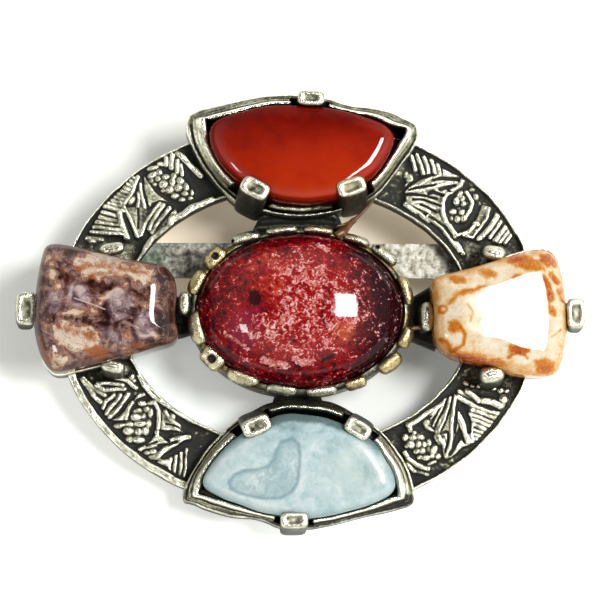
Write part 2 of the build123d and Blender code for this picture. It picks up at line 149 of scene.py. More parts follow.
# Crescent settings and stones. Rims as read, shallow side from the left corner to the right one and deep
# side back: drawing, then x and y of each place. Then the stone's hub, the fall of its flat top along x
# and y, how much darker the shallow side's outer half is, and the brown tint at the deep side's middle.
Lune = namedtuple("Lune", "shallow_out deep_out shallow_in deep_in stone hub lean dull brown")
LUNES = {
    "top": Lune(shallow_out=(
        (TOP_LEFT, 75, 420, 100, 370, 150, 335, 250, 292, 400, 257, 560, 222, 700, 192, 850, 160, 1050, 127,
         1380, 112),
        (TOP_RIGHT, 430, 150, 560, 192, 700, 230, 900, 255, 1050, 280, 1200, 320, 1300, 370, 1430, 430,
         1485, 480, 1495, 540),
    ), deep_out=(
        (TOP_RIGHT, 1495, 600, 1465, 680, 1420, 760, 1360, 840, 1290, 930, 1180, 1080, 1020, 1275),
        (MIDDLE, 1130, 30, 960, 98, 820, 117, 700, 114, 560, 88, 420, 35),
        (TOP_LEFT, 500, 1265, 420, 1180, 300, 1020, 240, 930, 165, 790, 110, 660, 75, 560, 62, 470),
    ), shallow_in=(
        (TOP_LEFT, 285, 400, 330, 388, 400, 385, 520, 355, 660, 320, 800, 285, 950, 245, 1080, 215,
         1260, 207),
        (TOP_RIGHT, 400, 228, 600, 262, 700, 290, 880, 325, 1000, 355, 1150, 425, 1250, 460, 1370, 500),
    ), deep_in=(
        (TOP_RIGHT, 1345, 570, 1290, 680, 1220, 800, 1130, 930, 1050, 1030, 930, 1165, 800, 1270, 545, 1345,
         400, 1367, 200, 1393, 60, 1390),
        (TOP_LEFT, 1200, 1420, 1080, 1378, 900, 1300, 740, 1210, 680, 1165, 560, 1020, 430, 850, 370, 740,
         330, 640, 300, 520),
    ), stone=(
        (TOP_LEFT, 370, 520, 356, 600, 365, 700, 400, 800, 460, 910, 540, 1020, 640, 1120, 740, 1195,
         900, 1290, 1080, 1362, 1200, 1402, 1380, 1424),
        (TOP_RIGHT, 200, 1378, 400, 1352, 545, 1325, 720, 1250, 880, 1130, 980, 1050, 1060, 960, 1130, 850,
         1180, 750, 1215, 660, 1222, 590, 1190, 530, 1130, 470, 1050, 420, 950, 385, 850, 355, 700, 310,
         560, 277, 400, 252, 200, 238),
        (TOP_LEFT, 1200, 240, 1060, 252, 920, 277, 780, 312, 640, 352, 520, 397, 430, 442, 388, 480),
    ), hub=(0.45, 15.9), lean=(0.05, 0.085), dull=-0.12, brown=0.35),
    "bottom": Lune(shallow_out=(
        (LOW_LEFT, 75, 1185, 110, 1205, 200, 1225, 300, 1272, 420, 1312, 560, 1352, 700, 1372, 850, 1382,
         1000, 1425, 1150, 1485),
        (LOW_RIGHT, 170, 1492, 300, 1472, 450, 1442, 600, 1402, 800, 1352, 1000, 1312, 1150, 1272,
         1265, 1235, 1300, 1185),
    ), deep_out=(
        (LOW_RIGHT, 1300, 1100, 1265, 940, 1205, 800, 1135, 680, 1055, 570, 965, 470, 880, 400, 760, 315,
         640, 245, 520, 175, 400, 125, 300, 105, 150, 98, 0, 92),
        (LOW_LEFT, 1200, 95, 1100, 112, 960, 152, 850, 212, 700, 292, 600, 362, 520, 442, 420, 542,
         330, 642, 250, 772, 170, 902, 110, 1022, 70, 1120),
    ), shallow_in=(
        (LOW_LEFT, 230, 1130, 300, 1160, 450, 1205, 600, 1250, 800, 1310, 1000, 1352, 1150, 1385),
        (LOW_RIGHT, 180, 1400, 400, 1370, 600, 1325, 800, 1270, 960, 1210, 1080, 1175, 1145, 1165),
    ), deep_in=(
        (LOW_RIGHT, 1140, 1080, 1110, 960, 1070, 860, 1010, 740, 940, 640, 860, 550, 800, 490, 680, 410,
         500, 345, 400, 307, 300, 277, 150, 257, 0, 252),
        (LOW_LEFT, 1250, 238, 1120, 257, 1040, 287, 880, 365, 720, 457, 650, 507, 560, 590, 480, 680,
         400, 780, 330, 888, 290, 960, 250, 1060),
    ), stone=(
        (LOW_LEFT, 297, 1000, 308, 940, 340, 880, 400, 790, 480, 690, 560, 605, 650, 525, 740, 460,
         880, 375, 1040, 302, 1120, 272, 1250, 252),
        (LOW_RIGHT, 60, 262, 150, 270, 300, 292, 400, 322, 500, 362, 680, 440, 830, 545, 900, 620, 970, 740,
         1040, 850, 1075, 950, 1086, 1030, 1060, 1100, 1000, 1150, 900, 1200, 750, 1260, 600, 1300,
         450, 1340, 300, 1368, 100, 1385),
        (LOW_LEFT, 1150, 1352, 1000, 1332, 850, 1292, 700, 1232, 550, 1182, 450, 1132, 370, 1092,
         315, 1045),
    ), hub=(0.1, -15.6), lean=(0.0, 0.0), dull=0.16, brown=0.0),
}

# Side settings and stones: which side, middle, length, slope of the top in degrees, and the tray's shift
Side = namedtuple("Side", "name side middle length slope tray_shift")
SIDES = (
    Side("left", -1, -18.396, 13.87, 0.0, (0.05, 0.08)),
    Side("right", 1, 19.264, 13.33, 9.0, (0.2, 0.35)),
)

# Their outlines as read, from the upper corner round: drawing, then x and y of each place
SIDE_LINES = {
    "left": (LEFT_STONE,
        228, 480, 245, 370, 265, 270, 285, 195, 305, 148, 345, 122, 400, 116, 470, 124, 560, 141, 660, 164,
        800, 201, 960, 240, 1150, 270, 1260, 284, 1335, 306, 1385, 345, 1425, 400, 1447, 470, 1455, 540,
        1447, 640, 1440, 740, 1448, 820, 1466, 890, 1458, 940, 1425, 978, 1370, 1003, 1290, 1022,
        1180, 1055, 1050, 1095, 900, 1130, 780, 1160, 640, 1193, 520, 1220, 430, 1236, 365, 1230,
         320, 1190, 275, 1120, 240, 1020, 215, 910, 206, 800, 208, 700, 216, 590),
    "right": (RIGHT_STONE,
        100, 470, 98, 430, 120, 398, 165, 378, 240, 355, 330, 332, 430, 305, 540, 272, 640, 240, 740, 205,
        830, 175, 930, 148, 1030, 130, 1100, 124, 1160, 134, 1210, 172, 1246, 235, 1272, 320, 1292, 420,
        1308, 520, 1320, 620, 1327, 720, 1328, 820, 1320, 920, 1308, 1020, 1290, 1110, 1262, 1190,
        1215, 1238, 1150, 1258, 1050, 1260, 940, 1252, 830, 1236, 740, 1200, 640, 1165, 540, 1150,
        450, 1133, 360, 1110, 280, 1080, 210, 1035, 160, 980, 130, 915, 120, 850, 124, 770, 124, 690,
        115, 610, 106, 540),
}

# Claws: middle of the end face as read, direction over the stone, half width, half depth, reach of the foot
# behind the face, height of the face, brass tint, pits, and whether it ends in a bead
Claw = namedtuple("Claw", "drawing x y turn wide deep foot top brass pit bead")
CLAWS = {
    "top": (
        Claw(TOP_RIGHT, 245, 145, -92, 1.3, 0.74, 0.5, 5.8, 0.0, 0.5, False),
        Claw(TOP_LEFT, 905, 1240, 62, 1.42, 0.92, 1.2, 6.95, 0.0, 0.6, False),
        Claw(TOP_RIGHT, 715, 1175, 107, 1.42, 0.88, 1.2, 6.45, 0.45, 0.6, False),
    ),
    "bottom": (
        Claw(LOW_LEFT, 1290, 1405, 90, 1.32, 0.80, 0.5, 5.8, 0.25, 0.6, False),
        Claw(LOW_LEFT, 880, 385, -68, 1.42, 0.90, 1.1, 6.2, 0.0, 0.8, False),
        Claw(LOW_RIGHT, 680, 415, -121, 1.32, 0.84, 1.0, 6.2, 0.0, 1.0, False),
    ),
    "left": (
        Claw(WHOLE, 26.0, 308, 0, 1.62, 1.0, 0.3, 4.95, 0.0, 0.15, False),
        Claw(WHOLE, 184.2, 302.5, 180, 1.08, 0.56, 0.3, 4.95, 0.0, 0.0, True),
        Claw(WHOLE, 112.0, 248.3, -79, 1.2, 0.60, 0.4, 4.9, 0.0, 0.1, True),
        Claw(WHOLE, 113.0, 365.7, 79, 1.15, 0.66, 0.4, 4.9, 0.0, 0.2, True),
    ),
    "right": (
        Claw(WHOLE, 576.3, 313, 180, 1.48, 0.9, 0.3, 4.95, 0.0, 0.4, False),
        Claw(WHOLE, 427.5, 316, 0, 1.42, 0.70, 0.4, 4.95, 0.0, 0.0, True),
        Claw(WHOLE, 494.5, 252.5, -101, 1.15, 0.72, 0.5, 4.9, 0.0, 0.0, True),
        Claw(WHOLE, 492.5, 373.5, 101, 1.2, 0.86, 0.5, 4.9, 0.0, 0.1, True),
    ),
}

# Bars that fold over the centre stone: both ends as read, width in the drawing, brass tint, and the place
# and size of a pit
Lobe = namedtuple("Lobe", "ax ay bx by wide brass pit_x pit_y pit", defaults=(0, 0, 0))
LOBES = (
    Lobe(372, 243, 545, 203, 62, 0.25, 378, 243, 12), Lobe(582, 186, 770, 166, 52, 0.15),
    Lobe(806, 166, 985, 186, 56, 0.35), Lobe(1052, 208, 1203, 262, 56, 0.35),
    Lobe(1226, 270, 1366, 376, 66, 0.3, 1252, 278, 16), Lobe(1396, 452, 1458, 626, 62, 0.6),
    Lobe(1452, 770, 1398, 886, 78, 0.55), Lobe(1392, 934, 1268, 1030, 84, 0.75),
    Lobe(1186, 1082, 1060, 1122, 66, 0.5), Lobe(1008, 1140, 822, 1160, 60, 0.2),
    Lobe(768, 1154, 584, 1132, 60, 0.2), Lobe(536, 1110, 344, 1038, 74, 0.35),
    Lobe(198, 896, 316, 1004, 112, 0.4, 252, 955, 30), Lobe(140, 670, 182, 868, 92, 0.4),
    Lobe(124, 562, 200, 424, 80, 0.8), Lobe(216, 398, 326, 292, 98, 0.85, 272, 335, 26),
)

# Ring quarters: turns where each starts and ends, and between which it is finely divided, in degrees. Then
# seed of its unevenness, width of the outer rim, clear gap inside it, width of the inner rim, growth of the
# band in its middle, painted shade toward the outer edge and painted shade beside the crescent setting.
Quarter = namedtuple("Quarter", "name first last dense_first dense_last seed "
                                "outer_rim rim_gap inner_rim grow dark ink")
QUARTERS = (
    Quarter("upper_left", 180, 90, 167, 110, 11, 0.22, 0.0, 0.30, 0.1, 0.05, 0.5),
    Quarter("upper_right", 90, 0, 70, 14, 23, 0.24, 0.30, 0.26, 0.45, 0.06, 0.12),
    Quarter("lower_right", 360, 270, 346, 290, 37, 0.26, 0.34, 0.26, 0.25, 0.0, 0.25),
    Quarter("lower_left", 270, 180, 250, 194, 53, 0.72, 0.20, 0.28, 0.1, 0.12, 0.5),
)

# Cast relief of the ring as read, with heights above the ground between the parts.
# Plate: height, then x and y of its outline. Ridge and cut: width in the drawing, height or depth, then
# x and y of its path. Bump: x, y, half length, half width and turn in the drawing, height.
Relief = namedtuple("Relief", "drawing plates ridges cuts bumps")
RELIEF = {
    "upper_left": Relief(Drawing(60, 135, 10.116), plates=(
        (0.42, 815, 410, 800, 470, 778, 560, 760, 640, 748, 715, 700, 716, 652, 728, 680, 800, 722, 880,
         760, 960, 792, 1045, 818, 1010, 850, 930, 900, 840, 960, 755, 1015, 690, 950, 715, 885, 752,
         862, 690, 845, 610, 832, 520),
        (0.45, 850, 400, 905, 480, 965, 565, 1040, 632, 1085, 668, 1000, 672, 940, 700, 898, 738, 880, 700,
         862, 620, 846, 520, 838, 430),
        (0.12, 870, 385, 960, 330, 1080, 340, 1220, 430, 1320, 540, 1370, 640, 1290, 690, 1180, 680,
         1060, 600, 950, 510),
    ), ridges=(
        (18, 0.55, 812, 500, 830, 640, 852, 728), (18, 0.52, 790, 590, 788, 725),
        (22, 0.55, 1010, 692, 930, 790, 860, 900, 815, 1020),
        (20, 0.52, 655, 730, 700, 830, 750, 935, 790, 1035), (30, 0.55, 320, 980, 620, 995),
        (30, 0.55, 345, 928, 612, 955), (30, 0.55, 370, 882, 612, 908), (30, 0.55, 400, 838, 602, 868),
        (32, 0.55, 430, 786, 602, 822), (34, 0.55, 455, 728, 640, 765), (26, 0.55, 490, 695, 650, 725),
        (26, 0.55, 522, 662, 655, 692), (26, 0.55, 556, 630, 670, 660), (25, 0.55, 588, 598, 688, 628),
        (24, 0.55, 620, 566, 706, 594), (24, 0.55, 650, 534, 722, 560), (24, 0.55, 680, 502, 738, 526),
        (22, 0.55, 710, 468, 754, 490), (22, 0.55, 742, 434, 778, 452),
        (50, 0.6, 598, 780, 612, 860, 638, 940, 684, 1040),
        (30, 0.58, 652, 690, 705, 610, 738, 560, 762, 480, 788, 425),
        (34, 0.55, 1040, 705, 985, 790, 930, 880, 900, 955),
        (34, 0.5, 1105, 735, 1030, 830, 965, 920, 930, 990), (34, 0.45, 1160, 780, 1080, 870, 1010, 960),
        (58, 0.58, 840, 1240, 882, 1130, 940, 1050, 1020, 985, 1105, 935, 1130, 845, 1185, 830, 1260, 800,
         1330, 735, 1430, 705, 1540, 655), (30, 0.48, 1000, 292, 1045, 300),
        (36, 0.55, 1075, 238, 1073, 302), (38, 0.58, 1138, 205, 1124, 332), (32, 0.5, 1190, 262, 1180, 372),
        (26, 0.4, 1222, 300, 1238, 402), (46, 0.42, 1185, 185, 1300, 278, 1425, 402),
        (26, 0.3, 270, 1040, 400, 1050),
    ), cuts=(
        (14, 0.3, 790, 745, 794, 940),
    ), bumps=(
        (722, 658, 30, 46, 20, 0.55), (932, 408, 50, 28, -30, 0.5), (1005, 378, 30, 32, 0, 0.5),
        (985, 441, 30, 28, 0, 0.5), (1066, 420, 38, 30, 0, 0.5), (1143, 420, 30, 36, 0, 0.48),
        (1046, 498, 42, 38, 20, 0.55), (1134, 478, 32, 44, 0, 0.5), (1216, 467, 42, 36, 20, 0.55),
        (1278, 526, 30, 38, 0, 0.5), (1196, 532, 42, 34, -15, 0.55), (1112, 553, 36, 34, 0, 0.52),
        (1166, 610, 36, 28, 0, 0.48), (1262, 592, 38, 28, 0, 0.42), (1050, 562, 26, 15, 0, 0.4),
        (955, 492, 24, 20, 0, 0.4), (1232, 652, 32, 22, 0, 0.38), (1336, 578, 20, 32, 0, 0.35),
        (918, 452, 28, 30, 0, 0.45), (1320, 640, 30, 20, 0, 0.35), (940, 333, 54, 22, -10, 0.5),
        (330, 1060, 40, 34, 0, 0.3), (410, 1050, 30, 30, 0, 0.28),
    )),
    "upper_right": Relief(Drawing(405, 140, 12.544), plates=(
        (0.4, 0, 560, 150, 470, 330, 425, 430, 400, 520, 430, 600, 480, 690, 520, 640, 600, 560, 640,
         490, 700, 465, 800, 475, 930, 540, 1060, 600, 1130, 640, 1200, 560, 1140, 420, 1020, 250, 900,
         130, 860, 0, 790), (0.5, 455, 335, 560, 385, 685, 455, 655, 478, 560, 470, 470, 468, 450, 420),
        (0.1, 720, 600, 830, 580, 900, 650, 900, 760, 850, 900, 760, 1030, 660, 1080, 580, 1060, 545, 950,
         560, 800, 620, 690),
        (0.38, 985, 770, 1070, 835, 1062, 880, 1010, 1000, 930, 1120, 860, 1190, 760, 1205, 660, 1190,
         700, 1160, 830, 1070, 900, 980, 940, 880),
    ), ridges=(
        (32, 0.42, 85, 205, 135, 375), (34, 0.5, 150, 185, 205, 310, 235, 425),
        (34, 0.55, 243, 220, 285, 330, 300, 430), (34, 0.52, 325, 250, 355, 330, 372, 410),
        (36, 0.55, 408, 310, 425, 380, 432, 445, 372, 485, 350, 535),
        (20, 0.5, 60, 606, 200, 545, 340, 455), (20, 0.52, 20, 640, 180, 640, 330, 600, 470, 560),
        (18, 0.5, 120, 770, 240, 800, 380, 860),
        (42, 0.6, 735, 480, 690, 565, 600, 620, 510, 690, 475, 800, 478, 920, 520, 1040, 590, 1115,
         640, 1190), (32, 0.55, 775, 650, 812, 720, 850, 790, 830, 880, 775, 960),
        (24, 0.55, 1062, 865, 1020, 990, 950, 1095, 870, 1195),
        (22, 0.52, 620, 1225, 700, 1180, 800, 1150, 880, 1060), (20, 0.5, 740, 1195, 850, 1225),
        (50, 0.6, 1168, 935, 1060, 1110, 930, 1248), (30, 0.5, 1200, 1020, 1110, 1150, 1060, 1225),
        (46, 0.58, 1272, 1085, 1190, 1185, 1130, 1262), (30, 0.5, 1296, 1145, 1225, 1240, 1185, 1290),
        (26, 0.42, 1335, 1180, 1255, 1300), (36, 0.55, 0, 800, 80, 862, 140, 905),
        (30, 0.4, 160, 900, 230, 960, 300, 1010), (26, 0.58, 295, 958, 420, 1065, 540, 1195, 690, 1400),
        (20, 0.5, 650, 1290, 740, 1440),
    ), cuts=(
        (36, 0.42, 0, 615, 80, 545, 180, 480, 350, 432), (22, 0.3, 50, 625, 200, 585, 380, 562),
        (34, 0.4, 355, 505, 420, 485, 540, 485, 660, 490), (34, 0.4, 440, 618, 520, 590, 625, 570),
        (26, 0.4, 520, 600, 562, 640), (26, 0.38, 0, 680, 120, 685, 250, 700, 400, 735),
        (42, 0.4, 300, 672, 350, 648, 420, 668, 480, 692),
        (24, 0.32, 100, 742, 220, 752, 340, 785, 455, 828), (22, 0.32, 190, 812, 280, 840, 400, 908),
        (24, 0.35, 300, 960, 380, 1000, 500, 1110, 625, 1260), (22, 0.3, 1105, 870, 1010, 1050, 880, 1225),
        (16, 0.3, 985, 800, 1080, 825),
    ), bumps=(
        (690, 682, 26, 46, 30, 0.5), (722, 737, 27, 36, 20, 0.55), (645, 772, 32, 44, 15, 0.55),
        (735, 802, 32, 28, 0, 0.5), (600, 900, 40, 30, -20, 0.55), (712, 902, 38, 34, 0, 0.52),
        (578, 985, 24, 28, 0, 0.42), (655, 990, 34, 38, 0, 0.55), (742, 985, 42, 38, 0, 0.55),
        (895, 712, 30, 38, 0, 0.5), (852, 612, 42, 18, -15, 0.45), (670, 850, 16, 12, 0, 0.3),
        (1000, 870, 26, 14, 0, 0.52), (960, 945, 22, 12, 0, 0.5), (900, 1056, 42, 30, 0, 0.55),
        (905, 1136, 28, 22, 0, 0.55), (1190, 1035, 26, 14, 30, 0.45), (60, 480, 40, 50, 0, 0.35),
        (20, 440, 30, 40, 0, 0.3),
    )),
    "lower_right": Relief(Drawing(405, 370, 12.544), plates=(
        (0.42, 620, 300, 660, 360, 650, 420, 645, 540, 655, 620, 690, 700, 640, 800, 600, 940, 550, 1060,
         500, 1060, 470, 990, 430, 900, 380, 830, 360, 740, 420, 640, 470, 540, 520, 440, 570, 360),
        (0.5, 700, 860, 750, 920, 830, 940, 720, 980, 640, 1050, 560, 1090, 515, 1110, 600, 1010, 650, 920),
        (0.42, 210, 655, 300, 690, 380, 760, 440, 820, 400, 805, 320, 775, 240, 720),
        (0.1, 60, 740, 180, 760, 300, 840, 400, 960, 440, 1090, 400, 1160, 300, 1170, 150, 1110, 30, 1000,
         0, 880),
    ), ridges=(
        (56, 0.55, 792, 265, 860, 320, 925, 380), (70, 0.56, 985, 380, 1090, 400, 1188, 452),
        (40, 0.45, 690, 265, 740, 310, 800, 345), (44, 0.58, 668, 335, 760, 385, 850, 442),
        (34, 0.55, 868, 452, 1000, 500, 1165, 545), (34, 0.55, 845, 500, 1000, 548, 1122, 592),
        (34, 0.52, 815, 550, 960, 602, 1082, 648), (32, 0.55, 825, 612, 930, 652, 1062, 702),
        (30, 0.55, 848, 680, 930, 710, 1002, 745), (26, 0.52, 868, 752, 962, 784),
        (24, 0.5, 868, 808, 935, 838), (22, 0.48, 860, 858, 902, 880),
        (30, 0.55, 840, 680, 830, 780, 850, 900),
        (26, 0.6, 632, 330, 610, 480, 592, 640, 588, 780, 560, 960, 530, 1060),
        (62, 0.58, 668, 550, 712, 660, 760, 780, 800, 905), (28, 0.55, 505, 375, 488, 448),
        (32, 0.52, 575, 350, 542, 480, 500, 610, 440, 750), (32, 0.5, 470, 490, 420, 610, 378, 705),
        (34, 0.55, 430, 825, 470, 900, 515, 960), (24, 0.52, 508, 800, 538, 890),
        (30, 0.55, 480, 860, 500, 980, 520, 1080), (34, 0.5, 330, 590, 370, 540, 390, 500),
        (34, 0.55, 30, 700, 150, 640, 280, 545, 400, 480, 505, 395), (42, 0.55, 50, 1110, 130, 1170),
        (42, 0.56, 150, 1185, 290, 1240), (32, 0.5, 0, 1040, 42, 1092), (40, 0.35, 40, 1170, 120, 1265),
        (36, 0.3, 160, 1270, 280, 1310), (30, 0.42, 395, 830, 440, 920),
        (22, 0.4, 330, 1345, 450, 1290, 560, 1215),
    ), cuts=(
        (24, 0.4, 655, 430, 648, 560, 640, 680, 625, 775),
        (42, 0.42, 690, 765, 660, 870, 600, 990, 560, 1050),
        (22, 0.35, 455, 790, 520, 770, 545, 775, 540, 880, 505, 1035),
        (18, 0.35, 600, 340, 560, 500, 520, 620, 465, 765),
        (18, 0.35, 520, 380, 490, 490, 420, 620, 380, 725),
        (56, 0.45, 700, 450, 765, 520, 802, 640, 806, 780), (26, 0.25, 290, 610, 330, 590),
    ), bumps=(
        (850, 190, 22, 16, 0, 0.35), (935, 196, 24, 20, 0, 0.5), (1030, 212, 26, 26, 0, 0.52),
        (1118, 232, 26, 18, 0, 0.45), (1205, 256, 34, 28, 0, 0.52), (1284, 268, 28, 28, 0, 0.55),
        (770, 160, 24, 24, 0, 0.35), (1238, 368, 46, 46, 0, 0.48), (1232, 440, 24, 40, 0, 0.4),
        (270, 660, 46, 34, 20, 0.45), (10, 850, 32, 40, 0, 0.5), (58, 740, 26, 42, 0, 0.52),
        (112, 782, 28, 22, 0, 0.48), (98, 850, 42, 36, 0, 0.55), (190, 838, 48, 34, 20, 0.52),
        (75, 932, 42, 42, 0, 0.55), (166, 926, 38, 36, 0, 0.55), (241, 932, 34, 36, 0, 0.5),
        (142, 1010, 34, 30, 0, 0.5), (215, 1010, 36, 34, 0, 0.52), (292, 990, 28, 32, 0, 0.45),
        (355, 1005, 40, 60, 30, 0.52), (258, 1100, 46, 30, 0, 0.54), (332, 1076, 32, 28, 0, 0.48),
        (410, 1080, 36, 30, 0, 0.52), (185, 1090, 30, 24, 0, 0.45), (335, 1162, 52, 22, -20, 0.48),
        (300, 910, 30, 40, 0, 0.5), (20, 960, 22, 22, 0, 0.42),
    )),
    "lower_left": Relief(Drawing(65, 370, 12.06), plates=(
        (0.5, 560, 598, 640, 560, 700, 500, 760, 410, 820, 370, 800, 440, 760, 520, 740, 590, 700, 615,
         620, 612), (0.5, 815, 380, 860, 310, 900, 262, 950, 262, 988, 312, 930, 332, 860, 352),
        (0.1, 1000, 340, 900, 370, 830, 450, 770, 590, 725, 730, 740, 840, 830, 890, 930, 870, 1020, 770,
         1080, 640, 1085, 480, 1050, 370),
        (0.42, 1135, 440, 1190, 520, 1250, 560, 1290, 620, 1350, 670, 1430, 745, 1300, 740, 1200, 735,
         1140, 715, 1150, 600),
        (0.48, 1105, 750, 1060, 800, 1000, 880, 900, 930, 885, 960, 930, 985, 1010, 960, 1090, 930,
         1180, 900, 1130, 820),
    ), ridges=(
        (30, 0.5, 400, 152, 520, 160, 690, 184), (30, 0.5, 375, 180, 470, 235, 600, 236, 720, 233),
        (34, 0.55, 620, 98, 740, 120, 800, 172, 865, 215),
        (40, 0.45, 150, 100, 260, 180, 330, 300, 430, 385),
        (30, 0.42, 270, 140, 330, 210, 430, 270, 480, 300), (24, 0.4, 220, 90, 300, 180, 350, 290),
        (34, 0.52, 458, 455, 495, 375, 592, 308), (34, 0.52, 502, 522, 582, 402, 668, 308),
        (36, 0.52, 542, 560, 652, 440, 768, 292), (22, 0.6, 733, 585, 760, 470, 815, 385),
        (28, 0.58, 1090, 400, 1122, 480, 1132, 590, 1122, 700), (24, 0.52, 1200, 500, 1270, 600, 1380, 680),
        (46, 0.52, 1200, 878, 1320, 838, 1485, 808), (40, 0.55, 1108, 750, 1150, 820, 1195, 880),
        (56, 0.55, 1110, 1050, 1210, 960, 1330, 895), (34, 0.52, 1300, 915, 1380, 880, 1450, 850),
        (24, 0.48, 1272, 1070, 1264, 1195), (24, 0.42, 1335, 1035, 1320, 1245),
        (22, 0.36, 1400, 1000, 1386, 1270), (20, 0.3, 1465, 955, 1440, 1280),
        (26, 0.55, 895, 60, 950, 190, 1050, 305, 1180, 395, 1330, 500, 1480, 590, 1568, 628),
    ), cuts=(
        (14, 0.25, 1215, 650, 1290, 668, 1380, 692), (15, 0.3, 985, 912, 1040, 880, 1110, 860),
        (26, 0.35, 1120, 905, 1250, 890, 1350, 862), (38, 0.4, 1150, 772, 1200, 812, 1250, 850),
        (40, 0.4, 1180, 1060, 1300, 960, 1460, 865),
    ), bumps=(
        (660, 668, 62, 26, 0, 0.5), (930, 403, 48, 28, 15, 0.52), (1052, 388, 62, 26, -15, 0.55),
        (890, 483, 36, 26, 0, 0.48), (980, 468, 38, 32, 0, 0.52), (845, 496, 26, 20, 0, 0.42),
        (942, 551, 24, 32, 0, 0.45), (1030, 512, 28, 52, 0, 0.52), (856, 567, 58, 40, 0, 0.56),
        (782, 655, 46, 34, 10, 0.5), (904, 645, 72, 36, 0, 0.58), (1007, 646, 34, 44, 0, 0.55),
        (769, 738, 54, 42, 0, 0.55), (886, 746, 44, 38, 0, 0.55), (972, 731, 40, 44, 0, 0.58),
        (780, 836, 42, 36, 0, 0.46), (885, 838, 66, 36, 5, 0.55), (1290, 570, 34, 40, -30, 0.52),
        (915, 955, 38, 24, -20, 0.55), (985, 1000, 34, 26, 0, 0.5), (1060, 985, 42, 34, 0, 0.52),
        (1082, 1052, 44, 32, 0, 0.52), (1172, 1110, 52, 42, 0, 0.52), (1232, 1120, 32, 44, 0, 0.5),
        (1030, 1060, 30, 24, 0, 0.5), (800, 90, 30, 50, 20, 0.4), (835, 130, 24, 24, 0, 0.4),
    )),
}

# Marks in the stones by kind: drawing, then for each mark its width in millimetres, which is 0 for a
# filled outline, and x and y of its places. The bottom stone's boot is filled and has a band as its edge.
# The bottom stone's white marks are a painted highlight, the key lamp's reflection on its right shoulder.
BOOT = (
    1270, 520, 1150, 560, 1100, 650, 1080, 740, 1000, 830, 880, 860, 760, 870, 650, 910, 590, 990,
    600, 1060, 700, 1110, 850, 1150, 1000, 1170, 1150, 1160, 1260, 1100, 1320, 1000, 1340, 850, 1350, 700,
    1330, 580,
)
RIGHT_MARKS = {
    "orange": (RIGHT_STONE,
        (0, 800, 150, 960, 165, 1090, 210, 1130, 300, 1040, 330, 940, 290, 860, 270, 790, 230),
        (0, 540, 310, 620, 300, 690, 335, 670, 385, 590, 380, 545, 350),
        (0, 250, 370, 320, 358, 400, 385, 395, 430, 320, 440, 255, 415),
        (0.45, 270, 600, 330, 540, 420, 500, 510, 490, 590, 470),
        (0, 255, 780, 310, 770, 355, 800, 345, 860, 290, 880, 255, 840),
        (0, 290, 1030, 370, 1040, 500, 1085, 640, 1100, 770, 1120, 765, 1155, 620, 1160, 480, 1140,
         360, 1100), (0, 1040, 1120, 1130, 1095, 1215, 1120, 1220, 1200, 1140, 1225, 1060, 1190),
        (0, 1250, 470, 1300, 465, 1305, 565, 1262, 570)),
    "red": (RIGHT_STONE,
        (0, 1090, 165, 1180, 150, 1230, 200, 1235, 270, 1160, 265, 1100, 220),
        (0, 820, 370, 900, 345, 965, 400, 940, 440, 860, 430),
        (0, 790, 990, 890, 975, 1010, 1000, 1000, 1050, 880, 1065, 800, 1040),
        (0.6, 1120, 380, 1165, 450, 1185, 560), (0.5, 1190, 340, 1240, 395), (0.45, 1180, 645, 1215, 695)),
    "line": (RIGHT_STONE,
        (0.22, 205, 630, 236, 646, 238, 680, 205, 698, 176, 680, 178, 646, 205, 630),
        (0.3, 190, 930, 245, 960, 290, 1040, 390, 980, 400, 890, 360, 830),
        (0.25, 800, 1090, 840, 1062, 880, 1050, 930, 1058, 970, 1090),
        (0.15, 1190, 900, 1235, 870, 1280, 830), (0.12, 560, 700, 640, 690, 720, 710, 800, 700),
        (0.12, 420, 620, 470, 690, 450, 780)),
}
